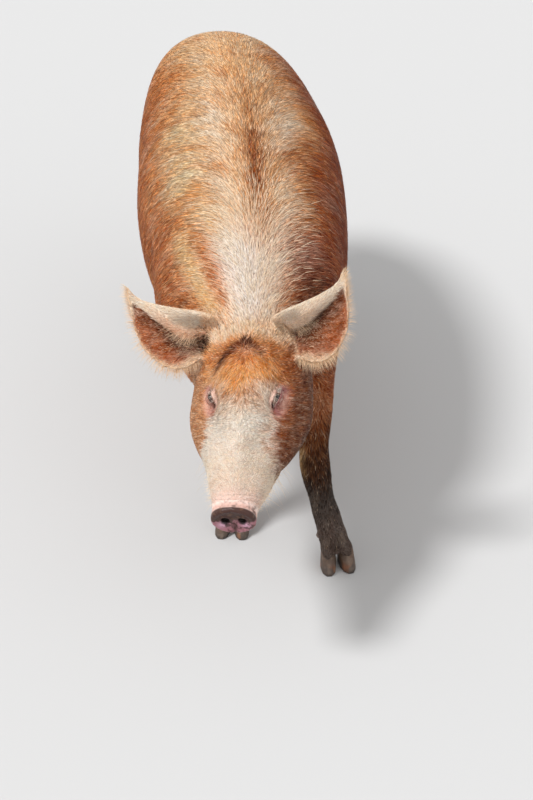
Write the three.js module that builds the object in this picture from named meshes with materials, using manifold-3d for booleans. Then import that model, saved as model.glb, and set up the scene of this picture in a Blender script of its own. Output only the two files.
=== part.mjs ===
// A young adult Tamworth pig, life size, in millimetres: it stands with its left foreleg a step
// ahead, its head lowered and turned a little to its right, and both ears pricked out sideways.
//
// The pig faces -Y, its left side is +X, up is +Z, and the floor is z = 0.
// The flesh is modelled whole, as lofts through named stations, and is then parted with thin
// cuts into the parts that a person would name. Claws and eyes are pieces of their own.
import * as THREE from 'three';
import { mergeVertices } from 'three/addons/utils/BufferGeometryUtils.js';
import Module from 'manifold-3d';

const wasm = await Module();
wasm.setup();

// ---------------------------------------------------------------- driving dimensions

const PART_GAP = 0.5; // left between two neighbouring parts
const WELD = 1e-4; // distance under which two corners are one

// Torso stations, from the nape to the root of the tail. 'at' is the place along Y and x the
// middle of the back, which curves to the pig's right. 'wide' is half the width, and it lies at
// the height 'mid'. 'upper' and 'lower' say how full the section is: 2 is an ellipse, more is boxier.
const TORSO = [
  { name: 'nape', at: -400, x: -32, top: 508, bottom: 352, wide: 78, mid: 440, upper: 2.0, lower: 2.0 },
  { name: 'neck', at: -335, x: -29, top: 562, bottom: 318, wide: 116, mid: 440, upper: 1.9, lower: 2.1 },
  { name: 'neck_base', at: -265, x: -28, top: 612, bottom: 300, wide: 148, mid: 442, upper: 1.9, lower: 2.1 },
  { name: 'withers', at: -190, x: -27, top: 650, bottom: 288, wide: 170, mid: 445, upper: 2.0, lower: 2.1 },
  { name: 'girth', at: -90, x: -31, top: 677, bottom: 280, wide: 184, mid: 450, upper: 2.1, lower: 2.1 },
  { name: 'ribs', at: 20, x: -40, top: 693, bottom: 271, wide: 200, mid: 452, upper: 2.2, lower: 2.2 },
  { name: 'belly', at: 150, x: -49, top: 702, bottom: 262, wide: 210, mid: 452, upper: 2.2, lower: 2.2 },
  { name: 'paunch', at: 265, x: -56, top: 707, bottom: 268, wide: 208, mid: 455, upper: 2.2, lower: 2.1 },
  { name: 'flank', at: 360, x: -68, top: 706, bottom: 298, wide: 197, mid: 472, upper: 2.1, lower: 2.0 },
  { name: 'loin', at: 440, x: -79, top: 700, bottom: 330, wide: 184, mid: 490, upper: 2.1, lower: 2.0 },
  { name: 'croup', at: 515, x: -91, top: 686, bottom: 368, wide: 163, mid: 510, upper: 2.1, lower: 2.0 },
  { name: 'rump', at: 588, x: -101, top: 650, bottom: 408, wide: 132, mid: 525, upper: 2.1, lower: 2.0 },
  { name: 'pin_bones', at: 642, x: -108, top: 606, bottom: 450, wide: 92, mid: 530, upper: 2.0, lower: 2.0 },
  { name: 'tail_root', at: 668, x: -111, top: 575, bottom: 495, wide: 46, mid: 536, upper: 2.0, lower: 2.0 },
];
const TORSO_STEPS = 23;
const TORSO_SIDES = 24;

// The head is laid out in its own frame: the poll is the origin, the line of the nose runs along
// -Y, and up is square to that line. 'at' is how far a station lies in front of the poll.
const HEAD = {
  poll: new THREE.Vector3(-33, -400, 533),
  pitch: 25.5, // degrees the nose points down
  yaw: 5, // degrees it is turned to the pig's right
  roll: 6, // degrees the right side hangs lower
};
const SKULL = [
  { name: 'nape', at: -62, top: -18, bottom: -190, wide: 84, mid: -95, upper: 1.9, lower: 2.0 },
  { name: 'poll', at: 0, top: -1, bottom: -214, wide: 101, mid: -92, upper: 1.6, lower: 2.1 },
  { name: 'jaw_angle', at: 62, top: 6, bottom: -212, wide: 108, mid: -94, upper: 1.5, lower: 2.2 },
  { name: 'brow', at: 108, top: 6, bottom: -196, wide: 108, mid: -92, upper: 1.45, lower: 2.2 },
  { name: 'eyes', at: 145, top: 0, bottom: -176, wide: 99, mid: -84, upper: 1.5, lower: 2.1 },
  { name: 'cheek', at: 190, top: -8, bottom: -150, wide: 82, mid: -74, upper: 1.75, lower: 2.1 },
  { name: 'mouth_corner', at: 232, top: -10, bottom: -124, wide: 63, mid: -62, upper: 2.3, lower: 2.1 },
  { name: 'muzzle', at: 272, top: -8, bottom: -101, wide: 52, mid: -50, upper: 2.4, lower: 2.1 },
  { name: 'nostril_root', at: 306, top: -5, bottom: -82, wide: 42, mid: -40, upper: 2.3, lower: 2.0 },
  { name: 'behind_rim', at: 322, top: -3, bottom: -74, wide: 38, mid: -36, upper: 2.2, lower: 2.0 },
  { name: 'rim', at: 333, top: 2, bottom: -68, wide: 41, mid: -32, upper: 2.1, lower: 2.1 },
  { name: 'disc', at: 342, top: -1, bottom: -64, wide: 39, mid: -32, upper: 2.1, lower: 2.1 },
];
const SKULL_STEPS = 24;
const SKULL_SIDES = 24;
const DISC = { tiltFrom: 316, tilt: 0.18, middle: -33 }; // its lower edge is pushed further ahead

// The forehead and the bridge of the nose: a narrower form that rides on the skull, so that the
// face falls steeply away beside the eyes before the cheeks swell out.
const BROW = [
  { name: 'nape', at: -40, top: -30, bottom: -90, wide: 30, mid: -66, upper: 2.3, lower: 2.0 },
  { name: 'poll', at: 5, top: 1, bottom: -90, wide: 50, mid: -50, upper: 2.3, lower: 2.0 },
  { name: 'forehead', at: 60, top: 9, bottom: -90, wide: 60, mid: -46, upper: 2.4, lower: 2.0 },
  { name: 'ridge', at: 104, top: 9, bottom: -90, wide: 62, mid: -40, upper: 2.5, lower: 2.0 },
  { name: 'eyes', at: 130, top: 3, bottom: -84, wide: 51, mid: -40, upper: 2.5, lower: 2.0 },
  { name: 'bridge', at: 175, top: -5, bottom: -76, wide: 46, mid: -40, upper: 2.4, lower: 2.0 },
  { name: 'nose', at: 230, top: -10, bottom: -70, wide: 38, mid: -40, upper: 2.3, lower: 2.0 },
  { name: 'tip', at: 290, top: -14, bottom: -60, wide: 24, mid: -40, upper: 2.2, lower: 2.0 },
];
const BROW_STEPS = 16;
const BROW_SIDES = 16;

const NOSTRIL = { x: 14.5, z: -34, wide: 6.5, high: 8.5, deep: 16, lean: 20, around: 8, down: 7 };
const MOUTH = { corner: 222, back: -88, slope: -10 }; // its corner, and how the line runs forward

const EYE = { at: 110, x: 54, z: -26, radius: 12, around: 12, down: 9 };

// Where each ear is rooted in the head, and how it is held, in degrees: swept back, raised, and
// its hollow turned up to face what is ahead. The right ear is swept forward a little.
const EARS = {
  left: { at: -10, x: 60, z: -13, back: 6, lift: 14, face: 46 },
  right: { at: -12, x: 78, z: -15, back: -4, lift: 7, face: 46 },
};
const EAR_THICK = { root: 10, tip: 5, roll: 30 }; // 'roll' is the folded leading edge at the root

// Along the ear, root first: 'up' and 'down' are where the leading edge and the lower lobe lie,
// and 'cup' is how deep the shell is there.
const EAR_SHAPE = [
  { out: -14, up: 34, down: -34, cup: 30 },
  { out: 16, up: 42, down: -48, cup: 36 },
  { out: 38, up: 45, down: -60, cup: 33 },
  { out: 61, up: 49, down: -61, cup: 28 },
  { out: 85, up: 54, down: -50, cup: 22 },
  { out: 104, up: 60, down: -32, cup: 16 },
  { out: 120, up: 68, down: -7, cup: 10 },
  { out: 131, up: 79, down: 38, cup: 5 },
  { out: 136, up: 86, down: 73, cup: 2 },
];
const EAR_CUP_FULLNESS = 0.8; // under 1 rounds the shell out towards its edges
const EAR_FOLD = [0.66, 0.92]; // the stretch across the ear over which it thickens to the fold
const EAR_RIM = 0.5; // the edges' share of the thickness beside them
const EAR_STEPS = 13;
const EAR_SIDES = 8; // points across the shell, on each of its two faces

// Leg stations, from inside the body down to the coronet: 'at' is the height, 'across' and
// 'along' are half sizes.
const FORELEG_LEFT = [
  { name: 'shoulder_top', at: 570, x: 30, y: -185, across: 50, along: 60 },
  { name: 'shoulder', at: 460, x: 66, y: -208, across: 72, along: 96 },
  { name: 'upper_arm', at: 385, x: 76, y: -234, across: 57, along: 78 },
  { name: 'elbow', at: 330, x: 82, y: -256, across: 46, along: 60 },
  { name: 'forearm', at: 275, x: 85, y: -292, across: 38, along: 43 },
  { name: 'above_knee', at: 240, x: 87, y: -320, across: 30, along: 32 },
  { name: 'knee', at: 205, x: 90, y: -340, across: 31, along: 34 },
  { name: 'cannon', at: 150, x: 101, y: -356, across: 24.5, along: 25 },
  { name: 'fetlock', at: 98, x: 116, y: -367, across: 28, along: 30 },
  { name: 'pastern', at: 66, x: 125, y: -376, across: 23, along: 26 },
  { name: 'coronet', at: 36, x: 134, y: -385, across: 9, along: 16 },
];
const FORELEG_RIGHT = [
  { name: 'shoulder_top', at: 570, x: -88, y: -165, across: 50, along: 60 },
  { name: 'shoulder', at: 460, x: -116, y: -178, across: 72, along: 92 },
  { name: 'upper_arm', at: 385, x: -114, y: -190, across: 58, along: 76 },
  { name: 'elbow', at: 330, x: -96, y: -200, across: 44, along: 58 },
  { name: 'forearm', at: 275, x: -92, y: -222, across: 37, along: 43 },
  { name: 'above_knee', at: 240, x: -90, y: -236, across: 29, along: 32 },
  { name: 'knee', at: 205, x: -88, y: -246, across: 30, along: 34 },
  { name: 'cannon', at: 150, x: -81, y: -253, across: 24.5, along: 25 },
  { name: 'fetlock', at: 98, x: -74, y: -262, across: 28, along: 30 },
  { name: 'pastern', at: 66, x: -70, y: -271, across: 23, along: 26 },
  { name: 'coronet', at: 36, x: -66, y: -280, across: 9, along: 16 },
];
const HINDLEG_LEFT = [
  { name: 'hip', at: 610, x: -45, y: 485, across: 62, along: 70 },
  { name: 'ham', at: 500, x: 2, y: 490, across: 92, along: 122 },
  { name: 'stifle', at: 410, x: 20, y: 475, across: 82, along: 118 },
  { name: 'thigh', at: 340, x: 30, y: 480, across: 61, along: 86 },
  { name: 'gaskin', at: 282, x: 35, y: 502, across: 40, along: 50 },
  { name: 'hock', at: 226, x: 38, y: 546, across: 29, along: 45 },
  { name: 'below_hock', at: 188, x: 38, y: 553, across: 27, along: 34 },
  { name: 'cannon', at: 140, x: 39, y: 547, across: 24.5, along: 26 },
  { name: 'fetlock', at: 94, x: 41, y: 536, across: 28, along: 31 },
  { name: 'pastern', at: 65, x: 43, y: 526, across: 23, along: 27 },
  { name: 'coronet', at: 36, x: 45, y: 517, across: 9, along: 16 },
];
const HINDLEG_RIGHT = [
  { name: 'hip', at: 610, x: -140, y: 475, across: 62, along: 70 },
  { name: 'ham', at: 500, x: -164, y: 465, across: 86, along: 122 },
  { name: 'stifle', at: 410, x: -174, y: 438, across: 78, along: 118 },
  { name: 'thigh', at: 340, x: -182, y: 430, across: 60, along: 86 },
  { name: 'gaskin', at: 282, x: -184, y: 434, across: 40, along: 50 },
  { name: 'hock', at: 226, x: -185, y: 460, across: 29, along: 45 },
  { name: 'below_hock', at: 188, x: -185, y: 463, across: 27, along: 34 },
  { name: 'cannon', at: 140, x: -184, y: 451, across: 24.5, along: 26 },
  { name: 'fetlock', at: 94, x: -183, y: 434, across: 28, along: 31 },
  { name: 'pastern', at: 65, x: -183, y: 421, across: 23, along: 27 },
  { name: 'coronet', at: 36, x: -183, y: 411, across: 9, along: 16 },
];
const LEG_STEPS = 16;
const LEG_CROWDING = 1.4; // over 1 sets the rings closer together towards the foot
const LEG_SIDES = 12;
const LEG_FULLNESS = 2.2;
const SHANK_CUT = 192; // height, just below the knee or the hock, where the trotter begins

// Where each leg leaves the body: a cut that rises outwards from the armpit or the groin.
const ARMPIT_LEFT = { x: 32, z: 281, rise: 22, back: -160, front: -470 };
const ARMPIT_RIGHT = { x: -46, z: 279, rise: 20, back: -158, front: -420 };
const GROIN_LEFT = { x: -42, z: 270, rise: 30, back: 740, front: 362 };
const GROIN_RIGHT = { x: -112, z: 270, rise: 30, back: 740, front: 322 };
const LEG_CUTTER = { outward: 330, inward: 34, drop: 20 }; // how far the cut's free sides stand off

// A toe from the fetlock down to its claw: 'x' is how far it stands from the middle of the foot,
// and the cleft between the two toes is what is left open.
const TOE = [
  { at: 110, x: 8, across: 14, along: 17 },
  { at: 88, x: 12.5, across: 15, along: 25 },
  { at: 62, x: 15.5, across: 14.5, along: 27 },
  { at: 36, x: 17.5, across: 14.5, along: 25 },
];

// A main claw, as if it pointed straight ahead: half sizes of its outline at each height.
const CLAW = [
  { at: 0, y: -4, across: 14, along: 27 },
  { at: 5, y: -4, across: 14.6, along: 27 },
  { at: 20, y: 0, across: 14.4, along: 24 },
  { at: 35.4, y: 5, across: 13.2, along: 20 },
];
const CLAW_SPREAD = 17.5; // from the middle of the foot to the middle of a claw
const CLAW_TOE_OUT = 8; // degrees
const CLAW_SIDES = 10;
const CLAW_FULLNESS = 2.2;
const TOE_SIDES = 8;
const DEWCLAW = [
  { at: 36, y: 13, across: 5, along: 5 },
  { at: 44, y: 11, across: 8, along: 8.5 },
  { at: 66, y: 0, across: 7.5, along: 7 },
];
const DEWCLAW_PLACE = { x: 16, y: 24 }; // from the middle of the pastern
const DEWCLAW_SIDES = 6;

const TAIL = [
  { at: 606, x: -108, y: 628, across: 19, along: 20 },
  { at: 586, x: -110, y: 660, across: 16, along: 22 },
  { at: 556, x: -111, y: 688, across: 12, along: 13 },
  { at: 508, x: -115, y: 699, across: 10, along: 10 },
  { at: 456, x: -126, y: 701, across: 8.5, along: 8.5 },
  { at: 410, x: -133, y: 697, across: 8, along: 8 },
  { at: 366, x: -125, y: 693, across: 9, along: 9 },
  { at: 330, x: -114, y: 692, across: 6, along: 6 },
];
const TAIL_STEPS = 10;
const TAIL_SIDES = 8;

// Cuts across the body: a place on each, how many degrees it leans, and the width, depth and
// height of the block that is taken off there. The snout's place is how far it lies ahead of the
// poll, along the nose. The nape's block stays above the shoulder.
const CUTS = {
  snout: { at: 316, block: [200, 100, 300] },
  jaw: { block: [300, 160, 200] },
  nape: { y: -350, z: 455, tilt: 11, block: [600, 600, 286] },
  neck: { y: -262, z: 450, tilt: -9, block: [700, 600, 900] },
  tail: { x: -116, y: 675, z: 460, block: [90, 100, 400] },
};
const ACROSS_ALL = 2000; // wider and longer than the pig

// ---------------------------------------------------------------- colours

const COLOURS = {
  coat: { color: 0xb9713f, roughness: 0.75, metalness: 0 },
  snout: { color: 0x9a6b66, roughness: 0.55, metalness: 0 },
  mud: { color: 0x5b4a3e, roughness: 0.9, metalness: 0 },
  eye: { color: 0x2a1a12, roughness: 0.15, metalness: 0 },
  hoof: { color: 0x3b3029, roughness: 0.6, metalness: 0 },
};

// ---------------------------------------------------------------- shape tools

const radians = THREE.MathUtils.degToRad;

// Fills in smooth stations between the named ones: every number is a cubic along 'key'. With
// 'crowding' over 1 they lie closer together towards the last.
function fill(stations, steps, key = 'at', crowding = 1) {
  const keys = Object.keys(stations[0]).filter((name) => name !== 'name' && name !== key);
  const sign = Math.sign(stations[1][key] - stations[0][key]);
  const places = stations.map((station) => sign * station[key]);
  const values = stations.flatMap((station) => keys.map((name) => station[name]));
  const cubic = new THREE.CubicInterpolant(places, values, keys.length);
  const first = places[0];
  const last = places[places.length - 1];
  return Array.from({ length: steps + 1 }, (_, i) => {
    const place = THREE.MathUtils.lerp(last, first, (1 - i / steps) ** crowding);
    const found = cubic.evaluate(place);
    const station = { [key]: sign * place };
    keys.forEach((name, k) => { station[name] = found[k]; });
    return station;
  });
}

// Closes a stack of rings, each with the same number of points, into one solid surface.
function skinRings(rings) {
  const sides = rings[0].length;
  const middle = (ring) => ring.reduce((sum, p) => sum.add(p), new THREE.Vector3()).divideScalar(sides);
  const points = [...rings.flat(), middle(rings[0]), middle(rings[rings.length - 1])];
  const start = rings.length * sides;
  const faces = [];
  for (let r = 0; r < rings.length - 1; r += 1) {
    for (let s = 0; s < sides; s += 1) {
      const a = r * sides + s;
      const b = r * sides + ((s + 1) % sides);
      faces.push(a, b, a + sides, b, b + sides, a + sides);
    }
  }
  const lastRing = (rings.length - 1) * sides;
  for (let s = 0; s < sides; s += 1) {
    const next = (s + 1) % sides;
    faces.push(start, next, s, start + 1, lastRing + s, lastRing + next);
  }
  const geometry = new THREE.BufferGeometry().setFromPoints(points);
  geometry.setIndex(faces);
  return geometry;
}

// Signed power: the corner of a superellipse.
const bulge = (value, fullness) => Math.sign(value) * Math.abs(value) ** (2 / fullness);

// A ring square to Y: its upper and lower halves have their own height and fullness. 'grow'
// makes it larger all round, for cutting a neighbour so that the gap is left.
function uprightRing(station, sides, grow = 0) {
  return Array.from({ length: sides }, (_, i) => {
    const angle = (2 * Math.PI * i) / sides;
    const above = Math.sin(angle) >= 0;
    const fullness = above ? station.upper : station.lower;
    const height = grow + (above ? station.top - station.mid : station.mid - station.bottom);
    return new THREE.Vector3(
      station.x + (station.wide + grow) * bulge(Math.cos(angle), fullness),
      station.y,
      station.mid + height * bulge(Math.sin(angle), fullness),
    );
  });
}

// A level ring, for legs, claws and the tail.
function levelRing(station, sides, fullness) {
  return Array.from({ length: sides }, (_, i) => {
    const angle = (2 * Math.PI * i) / sides;
    return new THREE.Vector3(
      station.x + station.across * bulge(Math.cos(angle), fullness),
      station.y + station.along * bulge(Math.sin(angle), fullness),
      station.at,
    );
  });
}

// A closed three.js geometry as a solid that can be joined and cut.
function solid(geometry, matrix = new THREE.Matrix4()) {
  const bare = geometry.clone().applyMatrix4(matrix);
  bare.deleteAttribute('normal');
  bare.deleteAttribute('uv');
  const merged = mergeVertices(bare, WELD);
  return new wasm.Manifold(new wasm.Mesh({
    numProp: 3,
    vertProperties: Float32Array.from(merged.attributes.position.array),
    triVerts: Uint32Array.from(merged.index.array),
  }));
}

// A solid as a three.js geometry.
function geometryOf(made) {
  const mesh = made.getMesh();
  const geometry = new THREE.BufferGeometry();
  geometry.setAttribute('position', new THREE.BufferAttribute(mesh.vertProperties, mesh.numProp));
  geometry.setIndex(new THREE.BufferAttribute(mesh.triVerts, 1));
  geometry.computeVertexNormals();
  return geometry;
}

// A cutting geometry made larger all round by the gap.
function grown(cutter) {
  cutter.computeBoundingBox();
  const size = cutter.boundingBox.getSize(new THREE.Vector3());
  const centre = cutter.boundingBox.getCenter(new THREE.Vector3());
  const larger = size.clone().addScalar(2 * PART_GAP).divide(size);
  return cutter.clone()
    .translate(-centre.x, -centre.y, -centre.z)
    .scale(larger.x, larger.y, larger.z)
    .translate(centre.x, centre.y, centre.z);
}

// Parts a solid with a three.js geometry, and leaves the gap between the two pieces.
function part(made, cutter, frame) {
  return {
    inside: made.intersect(solid(cutter, frame)),
    outside: made.subtract(solid(grown(cutter), frame)),
  };
}

// A frame at a place, turned by 'tilt' degrees about X: positive lowers what points forward.
function tilted(x, y, z, tilt) {
  return new THREE.Matrix4().makeTranslation(x, y, z)
    .multiply(new THREE.Matrix4().makeRotationX(radians(tilt)));
}

// A block that reaches from 'y' = 0 of its frame forward, for cutting off what lies ahead.
function ahead(width, depth, height) {
  return new THREE.BoxGeometry(width, depth, height).translate(0, -depth / 2, 0);
}

// ---------------------------------------------------------------- the flesh

const headFrame = new THREE.Matrix4().compose(
  HEAD.poll,
  new THREE.Quaternion().setFromEuler(
    new THREE.Euler(radians(HEAD.pitch), radians(-HEAD.roll), radians(-HEAD.yaw), 'ZXY'),
  ),
  new THREE.Vector3(1, 1, 1),
);

function torso(grow = 0) {
  const stations = fill(TORSO, TORSO_STEPS).map((station) => ({ ...station, y: station.at }));
  return solid(skinRings(stations.map((station) => uprightRing(station, TORSO_SIDES, grow)).reverse()));
}

function headForm(named, steps, sides, grow) {
  const stations = fill(named, steps).map((station) => ({ ...station, x: 0, y: -station.at }));
  const rings = stations.map((station) => {
    const share = THREE.MathUtils.smoothstep(station.at, DISC.tiltFrom, SKULL[SKULL.length - 1].at);
    const ring = uprightRing(station, sides, grow);
    ring.forEach((point) => { point.y += share * DISC.tilt * (point.z - DISC.middle); });
    return ring;
  });
  return solid(skinRings(rings), headFrame);
}

function skull(grow = 0) {
  return headForm(SKULL, SKULL_STEPS, SKULL_SIDES, grow)
    .add(headForm(BROW, BROW_STEPS, BROW_SIDES, grow));
}

function limb(stations, steps, sides, fullness, crowding = 1) {
  const filled = fill(stations, steps, 'at', crowding);
  const rings = filled.map((station) => levelRing(station, sides, fullness));
  return solid(skinRings(rings.reverse()));
}

// A toe keeps to the middle line of its leg, which lies between the leg's own stations.
function toe(leg, way) {
  const rings = TOE.map((station) => {
    const below = leg.stations.findIndex((other) => other.at <= station.at);
    const [upper, lower] = [leg.stations[below - 1], leg.stations[below]];
    const share = (upper.at - station.at) / (upper.at - lower.at);
    const turned = new THREE.Vector2(way * station.x, 0)
      .rotateAround(new THREE.Vector2(), radians(leg.side * leg.toe));
    return levelRing({
      ...station,
      x: THREE.MathUtils.lerp(upper.x, lower.x, share) + turned.x,
      y: THREE.MathUtils.lerp(upper.y, lower.y, share) + turned.y,
    }, TOE_SIDES, CLAW_FULLNESS);
  });
  return solid(skinRings(rings.reverse()));
}

// side is 1 for the left ear and -1 for the right one.
function ear(held, side) {
  const frame = new THREE.Matrix4().compose(
    new THREE.Vector3(side * held.x, -held.at, held.z),
    new THREE.Quaternion().setFromEuler(new THREE.Euler(
      radians(-held.face),
      radians(-side * held.lift),
      radians(side * held.back),
      'ZYX',
    )),
    new THREE.Vector3(1, 1, 1),
  );
  const rings = fill(EAR_SHAPE, EAR_STEPS, 'out').map((station) => {
    const tipward = THREE.MathUtils.smoothstep(station.out, 0, EAR_SHAPE[EAR_SHAPE.length - 1].out);
    const thick = THREE.MathUtils.lerp(EAR_THICK.root, EAR_THICK.tip, tipward);
    const fold = THREE.MathUtils.lerp(EAR_THICK.roll, EAR_THICK.tip, tipward);
    const back = [];
    const front = [];
    for (let i = 0; i < EAR_SIDES; i += 1) {
      const across = i / (EAR_SIDES - 1);
      const height = THREE.MathUtils.lerp(station.down, station.up, across);
      const depth = station.cup * Math.sin(Math.PI * across) ** EAR_CUP_FULLNESS;
      const local = THREE.MathUtils.lerp(thick, fold, THREE.MathUtils.smoothstep(across, ...EAR_FOLD));
      const edge = i === 0 || i === EAR_SIDES - 1 ? EAR_RIM : 1;
      back.push(new THREE.Vector3(side * station.out, depth + (edge * local) / 2, height));
      front.unshift(new THREE.Vector3(side * station.out, depth - (edge * local) / 2, height));
    }
    const ring = [...back, ...front];
    return side > 0 ? ring.reverse() : ring;
  });
  return solid(skinRings(rings.reverse()), headFrame.clone().multiply(frame));
}

function eyeball(side, grow = 0) {
  const sphere = new THREE.SphereGeometry(EYE.radius + grow, EYE.around, EYE.down);
  const place = new THREE.Matrix4().makeTranslation(side * EYE.x, -EYE.at, EYE.z);
  return solid(sphere, headFrame.clone().multiply(place));
}

function nostril(side) {
  const shape = new THREE.SphereGeometry(1, NOSTRIL.around, NOSTRIL.down);
  const frame = new THREE.Matrix4().compose(
    new THREE.Vector3(side * NOSTRIL.x, -SKULL[SKULL.length - 1].at, NOSTRIL.z),
    new THREE.Quaternion().setFromEuler(new THREE.Euler(0, radians(side * NOSTRIL.lean), 0)),
    new THREE.Vector3(NOSTRIL.wide, NOSTRIL.deep, NOSTRIL.high),
  );
  return solid(shape, headFrame.clone().multiply(frame));
}

// A claw or dewclaw, turned with the toes of its foot.
function footPiece(shape, sides, centre, x, y, turn) {
  const rings = shape.map((station) => levelRing({ ...station, x: 0 }, sides, CLAW_FULLNESS));
  const frame = new THREE.Matrix4().makeTranslation(centre.x, centre.y, 0)
    .multiply(new THREE.Matrix4().makeRotationZ(radians(turn)))
    .multiply(new THREE.Matrix4().makeTranslation(x, y, 0));
  return solid(skinRings(rings), frame);
}

// What takes a leg off the body: an outline square to Y that rises outwards from the armpit or
// groin, and whose other sides stay in free air.
function legCutter(root, side) {
  const { outward, inward, drop } = LEG_CUTTER;
  const outline = new THREE.Shape([
    new THREE.Vector2(0, 0),
    new THREE.Vector2(side * outward, outward * Math.tan(radians(root.rise))),
    new THREE.Vector2(side * outward, -root.z - drop),
    new THREE.Vector2(-side * inward, -root.z - drop),
    new THREE.Vector2(-side * inward, -drop),
  ]);
  const depth = root.back - root.front;
  return new THREE.ExtrudeGeometry(outline, { depth, bevelEnabled: false })
    .rotateX(Math.PI / 2).translate(0, depth, 0);
}

// ---------------------------------------------------------------- the parts

const pig = new THREE.Group();

function add(name, made, look) {
  const mesh = new THREE.Mesh(geometryOf(made), new THREE.MeshStandardMaterial(COLOURS[look]));
  mesh.name = name;
  pig.add(mesh);
}

const SIDES = [['left', 1], ['right', -1]];
const LEGS = [
  { name: 'fore_left', stations: FORELEG_LEFT, side: 1, root: ARMPIT_LEFT, toe: 12 },
  { name: 'fore_right', stations: FORELEG_RIGHT, side: -1, root: ARMPIT_RIGHT, toe: 4 },
  { name: 'hind_left', stations: HINDLEG_LEFT, side: 1, root: GROIN_LEFT, toe: 6 },
  { name: 'hind_right', stations: HINDLEG_RIGHT, side: -1, root: GROIN_RIGHT, toe: 10 },
];

// The whole fleshy body, before it is parted.
function wholeBody() {
  let body = torso().add(skull());
  for (const leg of LEGS) {
    body = body.add(limb(leg.stations, LEG_STEPS, LEG_SIDES, LEG_FULLNESS, LEG_CROWDING));
    body = body.add(toe(leg, 1)).add(toe(leg, -1));
  }
  body = body.add(limb(TAIL, TAIL_STEPS, TAIL_SIDES, 2));
  for (const [, side] of SIDES) body = body.subtract(nostril(side)).subtract(eyeball(side, PART_GAP));
  return body;
}

// Takes one leg off the body, divides it and adds it with its claws. Gives back the rest.
function addLeg(body, leg) {
  const { root, side, stations } = leg;
  const limbOff = part(body, legCutter(root, side), tilted(root.x, root.front, root.z, 0));
  const belowCut = new THREE.BoxGeometry(ACROSS_ALL, ACROSS_ALL, SHANK_CUT);
  belowCut.translate(0, 0, SHANK_CUT / 2);
  const shank = part(limbOff.inside, belowCut, tilted(0, 0, 0, 0));
  add(`leg_${leg.name}`, shank.outside, 'coat');
  add(`trotter_${leg.name}`, shank.inside, 'mud');
  const coronet = stations[stations.length - 1];
  const pastern = stations[stations.length - 2];
  for (const [place, way] of [['outer', side], ['inner', -side]]) {
    const turn = side * leg.toe;
    const claw = footPiece(CLAW, CLAW_SIDES, coronet, way * CLAW_SPREAD, 0, turn + way * CLAW_TOE_OUT);
    const dew = footPiece(DEWCLAW, DEWCLAW_SIDES, pastern, way * DEWCLAW_PLACE.x, DEWCLAW_PLACE.y, turn);
    add(`claw_${leg.name}_${place}`, claw, 'hoof');
    add(`dewclaw_${leg.name}_${place}`, dew.subtract(shank.inside), 'hoof');
  }
  return limbOff.outside;
}

// Takes the snout, the lower jaw, the head, the neck and the tail off in turn, each with one cut.
// What is left is the trunk.
function addHeadNeckAndTail(body) {
  const { snout, jaw, nape, neck, tail } = CUTS;
  const snoutFrame = headFrame.clone().multiply(tilted(0, -snout.at, 0, 0));
  const tip = part(body, ahead(...snout.block), snoutFrame);
  add('snout', tip.inside, 'snout');

  const mouthFrame = headFrame.clone().multiply(tilted(0, -MOUTH.corner, MOUTH.back, MOUTH.slope));
  const below = ahead(...jaw.block).translate(0, 0, -jaw.block[2] / 2);
  const mouth = part(tip.outside, below, mouthFrame);
  add('lower_jaw', mouth.inside, 'coat');

  const head = part(mouth.outside, ahead(...nape.block), tilted(0, nape.y, nape.z, nape.tilt));
  add('head', head.inside, 'coat');

  const throat = part(head.outside, ahead(...neck.block), tilted(0, neck.y, neck.z, neck.tilt));
  add('neck', throat.inside, 'coat');

  const behind = ahead(...tail.block).rotateX(Math.PI);
  const rump = part(throat.outside, behind, tilted(tail.x, tail.y, tail.z, 0));
  add('tail', rump.inside, 'coat');
  add('trunk', rump.outside, 'coat');
}

function addEarsAndEyes() {
  for (const [name, side] of SIDES) {
    const cutEar = ear(EARS[name], side).subtract(skull(PART_GAP)).subtract(torso(PART_GAP));
    add(`ear_${name}`, cutEar, 'coat');
    add(`eye_${name}`, eyeball(side), 'eye');
  }
}

let body = wholeBody();
for (const leg of LEGS) body = addLeg(body, leg);
addHeadNeckAndTail(body);
addEarsAndEyes();

// The origin is the middle of the ground that the pig covers.
const extent = new THREE.Box3().setFromObject(pig);
const centre = extent.getCenter(new THREE.Vector3());
pig.position.set(-centre.x, -centre.y, -extent.min.z);
pig.updateMatrixWorld(true);

export default pig;
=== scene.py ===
"""A young adult Tamworth pig, life size and still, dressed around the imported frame.

One skin stands for all the nodes of flesh. Eyes, claws and dewclaws are pieces of their own, and
the coat is a few joined meshes of thin tufts that follow the lie of the hair. Lengths are metres.
"""
import math

import bmesh
import bpy
import numpy as np
from mathutils import Matrix, Vector
from mathutils.bvhtree import BVHTree


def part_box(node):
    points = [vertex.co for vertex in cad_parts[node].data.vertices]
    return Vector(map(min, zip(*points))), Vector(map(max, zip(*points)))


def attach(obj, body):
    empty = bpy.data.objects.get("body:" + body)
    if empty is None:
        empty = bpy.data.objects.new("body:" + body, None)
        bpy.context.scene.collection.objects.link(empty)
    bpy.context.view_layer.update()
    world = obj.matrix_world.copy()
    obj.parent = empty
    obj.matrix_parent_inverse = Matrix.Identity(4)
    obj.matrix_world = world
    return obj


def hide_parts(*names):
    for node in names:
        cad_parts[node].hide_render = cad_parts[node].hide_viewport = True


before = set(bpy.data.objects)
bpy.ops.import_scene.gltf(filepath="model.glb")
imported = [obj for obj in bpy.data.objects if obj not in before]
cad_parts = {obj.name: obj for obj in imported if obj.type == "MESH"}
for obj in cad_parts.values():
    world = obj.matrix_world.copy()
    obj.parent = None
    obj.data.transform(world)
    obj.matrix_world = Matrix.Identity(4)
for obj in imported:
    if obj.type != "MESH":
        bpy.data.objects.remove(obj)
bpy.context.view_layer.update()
MM = 0.001
radians = math.radians

# ---------------------------------------------------------------- what the frame gives

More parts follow.
